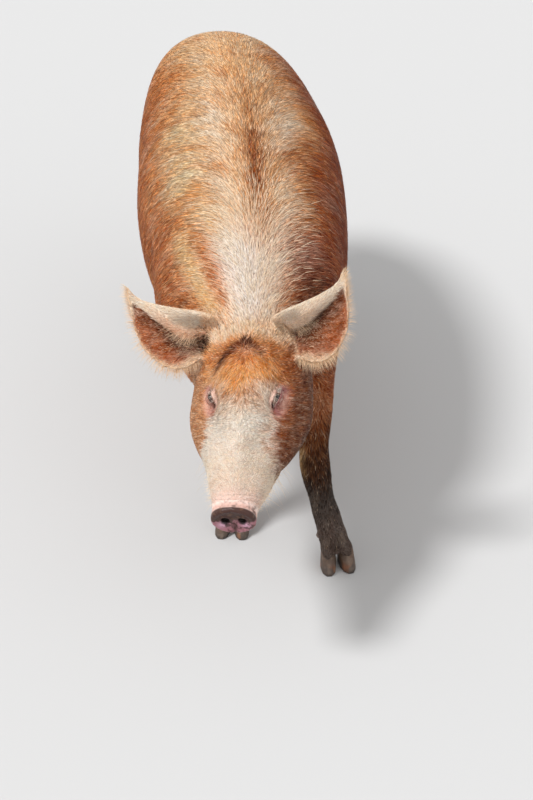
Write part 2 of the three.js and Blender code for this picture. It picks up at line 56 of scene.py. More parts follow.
ENDS = ["fore_left", "fore_right", "hind_left", "hind_right"]
CLAWS = [f"{kind}_{end}_{place}" for kind in ("claw", "dewclaw")
         for end in ENDS for place in ("outer", "inner")]
REGIONS = {
    "torso": ["trunk", "neck"],
    "head": ["head"],
    "jaw": ["lower_jaw"],
    "snout": ["snout"],
    "ear": ["ear_left", "ear_right"],
    "leg": [f"leg_{end}" for end in ENDS],
    "trotter": [f"trotter_{end}" for end in ENDS],
    "tail": ["tail"],
}
REGION_NAMES = list(REGIONS)
FLESH = [node for nodes in REGIONS.values() for node in nodes]


def middle(node):
    low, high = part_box(node)
    return (np.array(low) + np.array(high)) / 2


# The head's own frame: the poll is its origin, the nose runs along -Y, and Z is square to it.
HEAD_YAW, HEAD_PITCH, HEAD_ROLL = -5, 25.5, -6
EYE_AHEAD, EYE_DROP, EYE_RADIUS = 110, 26, 12  # mm
DISC_AHEAD, DISC_DROP, DISC_TILT = 342, 33, 0.18  # mm, mm, and mm ahead for each mm up
DISC_HALF_WIDTH, DISC_HALF_HEIGHT = 40, 33  # mm
NOSTRIL_ASIDE, NOSTRIL_UP = 14.5, -1  # mm in the disc's frame
head_axes = np.array(Matrix.Rotation(radians(HEAD_YAW), 3, "Z")
                     @ Matrix.Rotation(radians(HEAD_PITCH), 3, "X")
                     @ Matrix.Rotation(radians(HEAD_ROLL), 3, "Y"))
eye_centres = {side: middle(f"eye_{side}") for side in ("left", "right")}
poll = sum(eye_centres.values()) / 2 + head_axes @ (np.array([0, EYE_AHEAD, EYE_DROP]) * MM)


def to_head(points):
    """Points as mm to the pig's left, ahead of the poll and above the line of the nose."""
    local = (points - poll) @ head_axes / MM
    return local[:, 0], -local[:, 1], local[:, 2]


def to_disc(points):
    """Points as mm to the pig's left, ahead along the snout and above its middle.
    The disc is tilted, with its lower edge further ahead."""
    x, ahead, z = to_head(points)
    above = z + DISC_DROP
    return x, ahead + DISC_TILT * above, above


# Each ear's own frame: its hollow faces -Y, and it points out along its side of X. The root's place
# is in mm in the head's frame, and the turns are in degrees. The leading edge is folded over, down
# to 'roll' across the ear, at the distances out of ROLL_AT, in mm.
EARS = {
    "left": {"side": 1, "x": 60, "ahead": -10, "z": -13, "back": 6, "lift": 14,
             "roll": [0.52, 0.64, 0.72, 0.76, 0.84]},
    "right": {"side": -1, "x": 78, "ahead": -12, "z": -15, "back": -4, "lift": 7,
              "roll": [0.38, 0.44, 0.60, 0.71, 0.82]},
}
ROLL_AT = [18, 43, 68, 90, 112]
EAR_FACING = 46
EAR_END = 200  # mm out, where an ear is well over
for ear in EARS.values():
    side = ear["side"]
    turn = np.array(Matrix.Rotation(radians(side * ear["back"]), 3, "Z")
                    @ Matrix.Rotation(radians(-side * ear["lift"]), 3, "Y")
                    @ Matrix.Rotation(radians(-EAR_FACING), 3, "X"))
    ear["axes"] = head_axes @ turn
    ear["root"] = poll + head_axes @ (np.array([side * ear["x"], -ear["ahead"], ear["z"]]) * MM)


def to_ear(points, ear):
    """Points as mm out from the ear's root, up the ear and behind its hollow."""
    local = (points - ear["root"]) @ ear["axes"] / MM
    return local[:, 0] * ear["side"], local[:, 2], local[:, 1]


# ---------------------------------------------------------------- small tools

def srgb(red, green, blue):
    """A screen colour from 0 to 255 as the linear colour that Blender uses."""
    part = np.array([red, green, blue]) / 255
    return np.where(part <= 0.04045, part / 12.92, ((part + 0.055) / 1.055) ** 2.4)


def step(value, start, end):
    """0 before start, 1 past end, and smooth between them."""
    share = np.clip((value - start) / (end - start), 0, 1)
    return share * share * (3 - 2 * share)


def fade(value, start, end):
    """1 before start, 0 past end, and smooth between them."""
    return 1 - step(value, start, end)


def hump(value, centre, width):
    """1 at the centre, falling smoothly away on both sides."""
    return np.exp(-(((value - centre) / width) ** 2))


def unit(vectors):
    length = np.linalg.norm(vectors, axis=-1, keepdims=True)
    return vectors / np.maximum(length, 1e-9)


def along(vectors, normals):
    """Vectors laid down on the surface with these normals, at length 1."""
    return unit(vectors - (vectors * normals).sum(-1, keepdims=True) * normals)


def noise(points, size, seed):
    """Smooth noise from 0 to 1 whose blobs are about this size."""
    values = np.random.default_rng(seed).random(4096)
    scaled = points / size + 1000.5
    cell = np.floor(scaled).astype(np.int64)
    inside = scaled - cell
    inside = inside * inside * (3 - 2 * inside)
    total = np.zeros(len(points))
    for corner in range(8):
        bits = np.array([corner & 1, corner >> 1 & 1, corner >> 2 & 1])
        at = cell + bits
        key = (at[:, 0] * 73856093 ^ at[:, 1] * 19349663 ^ at[:, 2] * 83492791) & 4095
        total += values[key] * np.prod(np.where(bits, inside, 1 - inside), axis=1)
    return total


def between(value, stops):
    """The number at this value, between the ones listed for the values on its two sides."""
    return np.interp(value, list(stops), list(stops.values()))


def numbers(items, name, width=1, kind=np.float32):
    found = np.empty(len(items) * width, kind)
    items.foreach_get(name, found)
    return found.reshape(-1, width) if width > 1 else found


def vertices_of(mesh):
    return numbers(mesh.vertices, "co", 3).astype(float)


def normals_of(mesh):
    return numbers(mesh.vertices, "normal", 3).astype(float)


def triangles_of(mesh):
    mesh.calc_loop_triangles()
    return numbers(mesh.loop_triangles, "vertices", 3, np.int32)


def put_vertices(mesh, places):
    mesh.vertices.foreach_set("co", places.astype(np.float32).ravel())
    mesh.update()


def paint(mesh, name, colours):
    """A colour for each vertex, in an attribute that the materials read."""
    layer = mesh.color_attributes.new(name, "FLOAT_COLOR", "POINT")
    rgba = np.ones((len(colours), 4), np.float32)
    rgba[:, :3] = colours
    layer.data.foreach_set("color", rgba.ravel())


def shown(mesh, name):
    piece = bpy.data.objects.new(name, mesh)
    bpy.context.scene.collection.objects.link(piece)
    return piece


def with_modifier(mesh, kind, groups=None, **settings):
    """The mesh as one modifier makes it."""
    piece = shown(mesh, "worked_on")
    for group, weights in (groups or {}).items():
        made = piece.vertex_groups.new(name=group)
        for level in np.unique(weights):
            made.add(np.flatnonzero(weights == level).tolist(), float(level), "REPLACE")
    modifier = piece.modifiers.new("work", kind)
    for key, value in settings.items():
        setattr(modifier, key, value)
    ready = piece.evaluated_get(bpy.context.evaluated_depsgraph_get())
    result = bpy.data.meshes.new_from_object(ready)
    bpy.data.objects.remove(piece)
    return result


MOST_NEIGHBOURS = 8


def neighbour_table(mesh):
    """Each vertex's neighbours, filled up with the vertex itself."""
    count = len(mesh.vertices)
    edges = numbers(mesh.edges, "vertices", 2, np.int32)
    source = np.concatenate([edges[:, 0], edges[:, 1]])
    target = np.concatenate([edges[:, 1], edges[:, 0]])
    order = np.argsort(source, kind="stable")
    source, target = source[order], target[order]
    degree = np.bincount(source, minlength=count)
    rank = np.arange(len(source)) - (np.cumsum(degree) - degree)[source]
    table = np.tile(np.arange(count)[:, None], (1, MOST_NEIGHBOURS))
    kept = rank < MOST_NEIGHBOURS
    table[source[kept], rank[kept]] = target[kept]
    return table


def spread(values, table, rounds, share=0.8):
    """Values moved towards the mean of their neighbours, this many times."""
    for _ in range(rounds):
        values = values + share * (values[table].mean(axis=1) - values)
    return values


# ---------------------------------------------------------------- skin: the general form

SWELL = 0.6 * MM  # closes the cuts between the nodes before they are joined
EAR_SWELL = 1.6 * MM  # keeps the ears' thin rims whole
VOXEL = 3 * MM
SOFTEN_ROUNDS = 120
EVEN_ROUNDS = 12
SHARE_ROUNDS = 12  # blurs the shares from one region to the next
MOST_MOVED = 8 * MM
# How much each region is softened, and how deep its coat is.
SOFTEN = {"torso": 0.9, "head": 0.10, "jaw": 0.07, "snout": 0.03, "ear": 0.07, "leg": 0.16,
          "trotter": 0.05, "tail": 0.05}
SOFTEN_FOREHEAD = 0.35
SOFTEN_EAR_ROOT = 0.2
EAR_ROOT_REACH = 42 * MM
COAT_DEPTH = {"torso": 4.5, "head": 2.2, "jaw": 2.2, "snout": 0.3, "ear": 0.5, "leg": 2.8,
              "trotter": 1.2, "tail": 1.5}
CORONET = 42 * MM  # below this height the skin keeps its full width, to meet the claws


def welded(node):
    """A CAD node's mesh with its corners joined."""
    work = bmesh.new()
    work.from_mesh(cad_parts[node].data)
    bmesh.ops.remove_doubles(work, verts=work.verts, dist=1e-5)
    work.normal_update()
    return work


def joined_flesh():
    whole = bmesh.new()
    for node in FLESH + ["eye_left", "eye_right"]:
        work = welded(node)
        swell = EAR_SWELL if node in REGIONS["ear"] else SWELL
        for vertex in work.verts:
            vertex.co += vertex.normal * swell
        part = bpy.data.meshes.new("part")
        work.to_mesh(part)
        work.free()
        whole.from_mesh(part)
        bpy.data.meshes.remove(part)
    mesh = bpy.data.meshes.new("flesh")
    whole.to_mesh(mesh)
    whole.free()
    return with_modifier(mesh, "REMESH", mode="VOXEL", voxel_size=VOXEL)


def flesh_tree():
    """What finds the nearest place on the CAD flesh, and each of its faces' region."""
    places, faces, regions = [], [], []
    for index, nodes in enumerate(REGIONS.values()):
        for node in nodes:
            work = welded(node)
            start = len(places)
            places += [vertex.co.copy() for vertex in work.verts]
            work.verts.index_update()
            faces += [[start + vertex.index for vertex in face.verts] for face in work.faces]
            regions += [index] * len(work.faces)
            work.free()
    return BVHTree.FromPolygons(places, faces), np.array(regions)


def nearest_flesh(points, tree, face_regions):
    """Each point's depth under the CAD surface, and the region that it belongs to."""
    depth = np.empty(len(points))
    face = np.empty(len(points), np.int32)
    for i, point in enumerate(points.tolist()):
        place, normal, face[i], _ = tree.find_nearest(point)
        depth[i] = (place - Vector(point)).dot(normal)
    return depth, face_regions[face]


def within(regions, *names):
    """Which of these vertices are in the regions with these names."""
    return np.isin(regions, [REGION_NAMES.index(name) for name in names])


def per_region(values, regions):
    """The value of each vertex's region."""
    return np.array([values[name] for name in REGION_NAMES])[regions]


def softened(mesh, tree, face_regions):
    """Takes the facets off the solids, and lays the skin inside them by the coat's depth."""
    table = neighbour_table(mesh)
    places = vertices_of(mesh)
    _, regions = nearest_flesh(places, tree, face_regions)
    shares = per_region(SOFTEN, regions)
    x, ahead, z = to_head(places)
    forehead = (np.abs(x) < 95) & (ahead < 100) & (z > -70)
    shares[forehead & within(regions, "head")] = SOFTEN_FOREHEAD
    for ear in EARS.values():
        by_root = np.linalg.norm(places - ear["root"], axis=1) < EAR_ROOT_REACH
        shares[by_root & within(regions, "ear")] = SOFTEN_EAR_ROOT
    shares = spread(shares, table, SHARE_ROUNDS)[:, None]
    places = spread(places, table, SOFTEN_ROUNDS, shares)
    put_vertices(mesh, places)
    depth, regions = nearest_flesh(places, tree, face_regions)
    wanted = per_region(COAT_DEPTH, regions) * MM
    wanted = np.where(places[:, 2] < CORONET, -SWELL, wanted)
    too_high = np.clip(wanted - depth, -MOST_MOVED, MOST_MOVED)
    too_high = spread(too_high, table, SOFTEN_ROUNDS, shares[:, 0])
    too_high = spread(too_high, table, EVEN_ROUNDS)
    put_vertices(mesh, places - normals_of(mesh) * too_high[:, None])
    return regions


KEPT_WHOLE = ["head", "jaw", "snout", "ear"]
KEEP_SHARE = 0.225
# A roughened surface is thinned evenly, where a smooth one loses whole stretches.
ROUGHENED = 1.2 * MM


def thinned(mesh, regions):
    """Fewer triangles on the trunk and legs, whose form is broad, and all of them on the head."""
    places = vertices_of(mesh)
    smooth = BVHTree.FromPolygons(places.tolist(), triangles_of(mesh).tolist())
    whole = within(regions, *KEPT_WHOLE).astype(float)
    rough = np.random.default_rng(5).normal(0, ROUGHENED, len(places)) * (1 - whole)
    put_vertices(mesh, places + normals_of(mesh) * rough[:, None])
    thin = with_modifier(mesh, "DECIMATE", {"whole": whole}, ratio=KEEP_SHARE,
                         vertex_group="whole", invert_vertex_group=True, vertex_group_factor=1.0,
                         use_collapse_triangulate=True)
    table = neighbour_table(thin)
    for _ in range(2):
        places = spread(vertices_of(thin), table, 2, 0.5)
        laid = np.array([smooth.find_nearest(place)[0] for place in places.tolist()])
        _, region = nearest_flesh(vertices_of(thin), tree, face_regions)
        kept = within(region, *KEPT_WHOLE)[:, None]
        put_vertices(thin, np.where(kept, vertices_of(thin), laid))
    return thin


# ---------------------------------------------------------------- skin: eyes, mouth and folds

# All in mm, unless a comment says otherwise.
LID = 1.6  # how thick the lids are over the ball
SLIT_HALF_LENGTH, SLIT_HALF_WIDTH, SLIT_BOW = 20, 4.2, 8
SLIT_START = -3.2  # where the slit's corners lie, against the middle of the ball
SLIT_DEPTH = 3.2
# Where each fold lies off the slit, how wide it is, how far it stands out, and its half length.
EYE_FOLDS = [(7.0, 2.4, 2.0, 17), (11.5, 1.7, -1.8, 18), (15.0, 2.0, 1.2, 17), (-5.0, 2.2, 1.5, 15),
             (-9.0, 1.5, -1.5, 15), (-12.0, 1.8, 1.2, 15), (-15.5, 1.5, -1.0, 14)]
FINE_ROUND_EYE = [32, 22]  # two rounds of finer triangles
FINE_SNOUT_FROM = [300, 330]
FINE_BY_MOUTH = 9
MOUTH_CORNER, MOUTH_DROP, MOUTH_SLOPE = 222, 88, math.tan(radians(10))
NOSE_CREASES = [(329, 2.0), (313, 1.6), (304, 1.0), (295, 0.7), (285, 0.5)]  # ahead, and deep
EAR_RIBS = (0.16, 0.28, 0.40)  # across the ear
KNEE_CREASES = (-34, -26, 30)  # from the joint
BARREL_MIDDLE = 0.45  # height of the middle of the trunk, in metres
KNEE, FORE_BEND, HIND_BEND = 0.22, 0.205, 0.225  # heights on the legs, in metres
LIMB_TOP, LIMB_REACH = 0.30, 0.11  # how far a leg's own relief goes up and out, in metres
# Where each side's joints lie along the body, in metres, for the pig's left (1) and right (-1).
BODY_JOINTS = {1: {"elbow": -0.250, "stifle": 0.400, "neck": -0.346},
               -1: {"elbow": -0.195, "stifle": 0.360, "neck": -0.346}}
# How many mm each form stands out, its joint and how far it lies behind it, how it leans, how wide
# it is, the height of its middle, and its half height.
BODY_FORMS = [
    (6, "elbow", 0.045, 0, 0.052, 0.455, 0.105), (-6, "elbow", 0.030, 0.25, 0.022, 0.40, 0.10),
    (-6, "stifle", 0.092, -0.35, 0.024, 0.39, 0.09), (4, "stifle", 0.124, -0.20, 0.050, 0.42, 0.09),
    (-4, "neck", -0.026, 0.1, 0.011, 0.49, 0.08), (3, "neck", 0, 0.1, 0.014, 0.49, 0.08),
    (-3, "neck", 0.028, 0.1, 0.011, 0.50, 0.08)]


def eye_frame(side):
    """The ways out of the head at an eye, forward along its slit, and up to the brow."""
    sign = EARS[side]["side"]
    out = head_axes @ unit(np.array([sign * 0.70, -0.30, 0.65]))
    forward = along(head_axes @ np.array([-sign * 0.22, -1.0, 0.0]), out)
    brow = np.cross(forward, out) * sign
    return out, forward, brow


def to_eye(points, side):
    """Points as mm forward along an eye's slit, up to its brow and out of the head."""
    out, forward, brow = eye_frame(side)
    offset = (points - eye_centres[side]) / MM
    return offset @ forward, offset @ brow, offset @ out


def socket(places, side):
    """1 on the bare skin round an eye, which reaches further down than up, and 0 beyond it."""
    u, v, high = to_eye(places, side)
    off_middle = np.hypot(u / 35, (v + 5) / 21) + 9 * (high < -22)
    return fade(off_middle, 0.72, 1.12)


def slit_middle(forward):
    return SLIT_START + SLIT_BOW * (1 - (forward / SLIT_HALF_LENGTH) ** 2)


def shape_eye(places, side):
    """Lids over the ball with a narrow slit between them, bags under it and folds above."""
    u, v, high = to_eye(places, side)
    reach = np.hypot(u, v)
    near = fade(reach, 24, 34) * step(high, -16, -8)
    ball = np.sqrt(np.clip((EYE_RADIUS + LID) ** 2 - reach**2, 0, None))
    shape = np.maximum(high - 2.6 * hump(reach, 19, 5), ball)
    off_slit = v - slit_middle(np.clip(u, -1.2 * SLIT_HALF_LENGTH, 1.2 * SLIT_HALF_LENGTH))
    for place, width, height, half_length in EYE_FOLDS:
        shape = shape + height * hump(off_slit, place, width) * hump(u, 0, half_length)
    half = SLIT_HALF_WIDTH * np.sqrt(np.clip(1 - (u / SLIT_HALF_LENGTH) ** 2, 0, 1))
    inside = fade(np.abs(off_slit), half - 0.6, half + 0.3)
    floor = np.sqrt(np.clip((EYE_RADIUS - SLIT_DEPTH) ** 2 - reach**2, 0, None))
    shape = shape + (np.minimum(floor, shape) - shape) * inside
    corners = step(np.abs(u), SLIT_HALF_LENGTH - 4, SLIT_HALF_LENGTH) * fade(np.abs(u), 20, 28)
    shape -= 2.0 * hump(v, SLIT_START, 2.0) * corners
    return places + eye_frame(side)[0] * ((shape - high) * near * MM)[:, None]


def mouth_height(ahead):
    return (ahead - MOUTH_CORNER) * MOUTH_SLOPE - MOUTH_DROP


def face_relief(places):
    """How many mm the head's skin stands out: lips, jowl, brow and the creases over the snout."""
    x, ahead, z = to_head(places)
    wide = np.abs(x)
    off_mouth = z - mouth_height(ahead)
    mouth = step(ahead, MOUTH_CORNER - 10, MOUTH_CORNER + 10) * fade(ahead, 318, 330)
    lips = 2.4 * hump(off_mouth, 6.5, 4) - 4.5 * hump(off_mouth, 0, 2.0)
    lips += 1.6 * hump(off_mouth, -6, 3.5)
    jowl = 3.5 * hump(ahead, 150, 46) * hump(z, -95, 42)
    jowl -= 3.4 * hump(ahead, 210 - 0.3 * (z + 90), 10) * hump(z, -95, 32)
    above = (2.4 * hump(wide, 33, 9) * hump(ahead, 100, 20)
             - 2.2 * hump(x, 0, 8) * hump(ahead, 100, 34))
    above += (3.0 * hump(wide, 20, 34) * hump(ahead, 20, 16)
              - 3.0 * hump(wide, 30, 12) * hump(ahead, 200, 46))
    for place, depth in NOSE_CREASES:
        above -= depth * hump(ahead, place - 0.003 * wide**2, 1.6)
    relief = lips * mouth + jowl + above * step(z, -45, -20)
    return relief * step(ahead, -30, 20)


def disc_relief(places):
    """How many mm the snout's flat end is moved ahead: a raised rim, a dish in it and a notch."""
    x, ahead, z = to_disc(places)
    from_middle = np.hypot(x / DISC_HALF_WIDTH, z / DISC_HALF_HEIGHT)
    relief = 2.6 * hump(from_middle, 0.84, 0.13) - 2.4 * hump(from_middle, 0, 0.6)
    from_nostril = np.hypot(np.abs(x) - NOSTRIL_ASIDE, z - NOSTRIL_UP)
    relief += 2.0 * hump(from_nostril, 11, 3.4) - 4.0 * step(from_middle, 0.93, 1.10)
    relief -= 2.8 * hump(x, 0, 3.6) * step(-z, 2, 14) + 1.6 * hump(x, 0, 5) * step(z, 10, 24)
    return relief * step(ahead, DISC_AHEAD - 9, DISC_AHEAD - 2)


def measure_ears(places, regions):
    """Where each ear's two edges lie, in slices of 5 mm from its root to its tip."""
    chosen = places[within(regions, "ear")]
    ends = np.linspace(-10, 160, 35)
    for ear in EARS.values():
        out, up, _ = to_ear(chosen, ear)
        slices = np.where(np.abs(up) < 120, np.digitize(out, ends), 0)
        found = [(ends[k], up[slices == k].min(), up[slices == k].max())
                 for k in range(1, len(ends)) if (slices == k).sum() > 3]
        ear["edges"] = np.array(found).T


def ear_place(out, up, ear):
    """0 on the lower edge and 1 on the leading one, and how many mm in from the lower edge."""
    outs, low, high = ear["edges"]
    bottom, top = np.interp(out, outs, low), np.interp(out, outs, high)
    slope = np.interp(out, outs, np.gradient(low, outs))
    return (up - bottom) / np.maximum(top - bottom, 5), (up - bottom) / np.hypot(1, slope)


def above_roll(out, across, ear):
    """How far across the ear a point lies above the lower edge of the folded leading edge."""
    return across - np.interp(out, ROLL_AT, ear["roll"])


def shape_ear(places, normals, ear):
    """The hollow goes in at the canal and under the folded leading edge, with low ribs below."""
    out, up, _ = to_ear(places, ear)
    across, _ = ear_place(out, up, ear)
    own = step(out, -6, 6) * (out < EAR_END) * (np.abs(up) < 120)
    hollow = step(-(normals @ ear["axes"][:, 1]), 0.1, 0.5) * own
    inner = fade(out, 72, 115)
    over_edge = above_roll(out, across, ear)
    sink = (4.5 * hump(over_edge, -0.05, 0.05) - 5.5 * hump(over_edge, 0.13, 0.11)) * inner
    sink += 7.0 * hump(out, 18, 22) * hump(over_edge, -0.14, 0.12)
    for rib in EAR_RIBS:
        sink -= 1.3 * hump(across, rib, 0.035) * inner * step(out, 20, 40)
    return places + ear["axes"][:, 1] * (sink * hollow * MM)[:, None]


def body_relief(places, regions):
    """How many mm the shoulder, elbow, flank and the loose folds of the neck stand out."""
    x, y, z = places.T
    off_spine = x - spine_at(y)
    torso = within(regions, "torso", "leg")
    relief = np.zeros(len(places))
    for side, joints in BODY_JOINTS.items():
        there = step(side * off_spine, 30 * MM, 80 * MM)
        for height, joint, place, lean, width, middle_z, half_z in BODY_FORMS:
            along_body = hump(y - lean * z, joints[joint] + place, width)
            relief += there * height * along_body * hump(z, middle_z, half_z)
    over_spine = step(z, 0.60, 0.66) * step(y, -0.3, -0.1) * fade(y, 0.3, 0.5)
    relief -= 2.5 * hump(off_spine, 0, 16 * MM) * over_spine
    return relief * torso


def limb_relief(places, regions):
    """How many mm the legs' skin stands out: knees, their creases, and a cuff over each claw."""
    limbs = within(regions, "leg", "trotter")
    relief = np.zeros(len(places))
    for end in ENDS:
        centre = middle(f"trotter_{end}")
        near = np.linalg.norm((places - centre)[:, :2], axis=1) < LIMB_REACH
        own = limbs & near & (places[:, 2] < LIMB_TOP)
        offset, z = places[own] - centre, places[own, 2]
        front = step(-offset[:, 1], 5 * MM, 22 * MM)
        joint = FORE_BEND if "fore" in end else HIND_BEND
        found = 1.8 * hump(z, joint, 18 * MM) * front
        for crease in KNEE_CREASES:
            found -= 1.0 * hump(z, joint + crease * MM, 3 * MM) * front
        found -= 1.4 * hump(z, 82 * MM, 4 * MM) * (1 - front) + 1.6 * hump(z, 56 * MM, 12 * MM)
        cleft = (middle(f"claw_{end}_outer") + middle(f"claw_{end}_inner"))[0] / 2
        in_cleft = hump(places[own, 0] - cleft, 0, 3.5 * MM) * fade(z, 88 * MM, 108 * MM)
        found -= 6.0 * in_cleft * (step(offset[:, 1], 5 * MM, 16 * MM) + front)
        for place in ("outer", "inner"):
            low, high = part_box(f"dewclaw_{end}_{place}")
            top = np.array([(low[0] + high[0]) / 2, low[1], high[2] - 10 * MM])
            found += 3.5 * hump(np.linalg.norm(places[own] - top, axis=1), 0, 12 * MM)
        relief[own] = found
    return relief


SPINE_ASIDE = 8 * MM  # the line of the back lies a little to the left of the trunk's middle
SPINE_ENDS = (-0.40, 0.66)


def fit_spine(places):
    """The line of the back, as a curve of x against y."""
    chosen = places[(places[:, 2] > 0.47) & (places[:, 1] > -0.33) & (places[:, 1] < 0.66)]
    ends = np.linspace(-0.33, 0.66, 34)
    slices = np.digitize(chosen[:, 1], ends)
    mids = [(chosen[slices == k, 0].max() + chosen[slices == k, 0].min()) / 2
            for k in range(1, len(ends))]
    return np.polyfit((ends[:-1] + ends[1:]) / 2, np.array(mids) + SPINE_ASIDE, 3)


def spine_at(y):
    return np.polyval(spine, np.clip(y, *SPINE_ENDS))


def split_faces(mesh, chosen):
    """Cuts every triangle whose middle is chosen into four."""
    work = bmesh.new()
    work.from_mesh(mesh)
    work.faces.ensure_lookup_table()
    edges = {edge for index in np.flatnonzero(chosen) for edge in work.faces[index].edges}
    bmesh.ops.subdivide_edges(work, edges=list(edges), cuts=1, use_grid_fill=True)
    bmesh.ops.triangulate(work, faces=work.faces)
    work.to_mesh(mesh)
    work.free()


def refined(mesh):
    """More triangles round the eyes, along the mouth and on the snout."""
    for level, (eye_reach, snout_from) in enumerate(zip(FINE_ROUND_EYE, FINE_SNOUT_FROM)):
        centres = vertices_of(mesh)[triangles_of(mesh)].mean(axis=1)
        near = [np.linalg.norm(centres - eye, axis=1) < eye_reach * MM
                for eye in eye_centres.values()]
        _, ahead, z = to_head(centres)
        by_lips = np.abs(z - mouth_height(ahead)) < FINE_BY_MOUTH
        mouth = by_lips & (ahead > MOUTH_CORNER - FINE_BY_MOUTH)
        split_faces(mesh, near[0] | near[1] | (ahead > snout_from) | (mouth & (level == 0)))


def sculpt(mesh, regions):
    """Every fold and opening that is finer than the solids."""
    places = vertices_of(mesh)
    normals = normals_of(mesh)
    on_head = within(regions, "head", "jaw", "snout")
    relief = face_relief(places) * on_head
    relief = relief + body_relief(places, regions) + limb_relief(places, regions)
    places = places + normals * relief[:, None] * MM
    places -= head_axes[:, 1] * (disc_relief(places) * within(regions, "snout") * MM)[:, None]
    for ear in EARS.values():
        places = shape_ear(places, normals, ear)
    for side in eye_centres:
        places = shape_eye(places, side)
    put_vertices(mesh, places)


# ---------------------------------------------------------------- markings

CREAM, PALE, WHITE = srgb(234, 206, 174), srgb(243, 224, 198), srgb(245, 232, 216)
SANDY, DUSTY = srgb(216, 168, 124), srgb(190, 148, 114)
RUST, BROWN = srgb(160, 84, 40), srgb(108, 58, 32)
DARK, NEAR_BLACK = srgb(64, 36, 24), srgb(26, 15, 12)
BARE, LIDS = srgb(206, 138, 110), srgb(208, 156, 138)
PINK, WINE = srgb(246, 222, 212), srgb(132, 74, 76)
DRY_MUD = srgb(134, 116, 100)
# The disc's dark brown is its mud, and painted shade on it too.
DISC_PINK, DISC_MUD_AND_SHADE = srgb(158, 104, 112), srgb(62, 36, 27)

# The coat round the trunk, in degrees from the top of the back: the left side is positive. Its pale
# top is partly painted highlight, and its deep rust left flank partly painted shade.
ROUND_TRUNK = {-180: DUSTY, -120: srgb(180, 108, 58), -85: srgb(178, 100, 48),
               -62: srgb(194, 116, 60), -44: srgb(212, 144, 84), -27: srgb(234, 186, 132),
               -10: srgb(242, 200, 152), 0: srgb(228, 180, 128), 12: srgb(230, 184, 134),
               22: srgb(198, 132, 72), 36: srgb(154, 76, 26), 52: srgb(126, 50, 12),
               95: srgb(118, 46, 10), 130: srgb(140, 72, 30), 180: DUSTY}
# Down the middle of the face, in mm ahead of the poll. The cream at the poll is partly painted
# highlight.
DOWN_FACE = {-40: CREAM, -10: srgb(242, 216, 184), 6: srgb(216, 160, 106), 24: srgb(204, 130, 68),
             60: srgb(218, 150, 82), 92: srgb(222, 160, 96), 118: srgb(198, 158, 128),
             142: srgb(216, 192, 170), 166: srgb(250, 240, 226), 205: srgb(248, 236, 220),
             240: srgb(232, 219, 201), 280: srgb(240, 222, 204), 304: srgb(240, 216, 202),
             320: PINK}
# Down the cheeks, in mm below the line of the nose. The left cheek's deep browns are partly painted
# shade.
DOWN_RIGHT_CHEEK = {20: srgb(196, 142, 98), 70: srgb(178, 124, 82), 130: srgb(166, 112, 72),
                    210: DUSTY}
DOWN_LEFT_CHEEK = {20: srgb(166, 88, 42), 50: srgb(112, 58, 28), 110: srgb(82, 44, 24), 210: DUSTY}
# Half the width of the white blaze, in mm, by mm ahead of the poll.
HALF_BLAZE_RIGHT = {-40: 76, 0: 72, 60: 80, 100: 62, 122: 40, 145: 50, 175: 60, 215: 84, 265: 140}
HALF_BLAZE_LEFT = {-40: 72, 0: 66, 60: 74, 100: 64, 125: 58, 150: 52, 200: 50, 250: 64, 300: 110}
# Where the painted shade at the right ear's root lies, and how far it reaches.
EAR_ROOT_SHADE_AT, EAR_ROOT_SHADE_HALF = [-84, -8, -38], [18, 23, 23]  # mm in the head's frame
# How much painted shade darkens the lids round each eye's slit, deeper on the left eye.
EYE_SHADE = {"left": 0.85, "right": 0.4}
# Painted shade in the slit and the creases round the eyes: mm off the slit, how wide, and how dark.
CREASE_SHADES = [(0, 3.4, 1.0), (10.5, 1.8, 0.5), (-10.5, 1.6, 0.4)]
# Down the leg, in mm above the floor. The darkest browns, round and below the knee, are partly
# painted shade.
DOWN_LEG = {30: srgb(86, 72, 64), 90: srgb(92, 78, 70), 150: srgb(56, 45, 38),
            178: srgb(46, 30, 21), 205: srgb(52, 30, 17), 250: srgb(88, 52, 28),
            300: srgb(128, 70, 34), 400: RUST}


def banded(value, bands):
    """The colour at this value, between the ones listed for the values on its two sides."""
    colours = np.array(list(bands.values()))
    return np.stack([np.interp(value, list(bands), colours[:, channel]) for channel in range(3)], 1)


def over(base, *layers):
    """The base under its layers: each is a colour, and how much of it there is at each point."""
    for colour, amount in layers:
        base = base + (colour - base) * np.clip(amount, 0, 1)[:, None]
    return base


def streaked(colour, streak, pale, dark):
    """Light and rusty bands that run along the hair."""
    return over(colour, (PALE, pale * np.clip(streak, 0, 1)),
                (srgb(142, 72, 32), dark * np.clip(-streak, 0, 1)))


def round_back(places):
    """Each point's angle from the top of the back, in degrees: positive on the pig's left."""
    x, y, z = places.T
    return np.degrees(np.arctan2(x - spine_at(y), z - BARREL_MIDDLE))


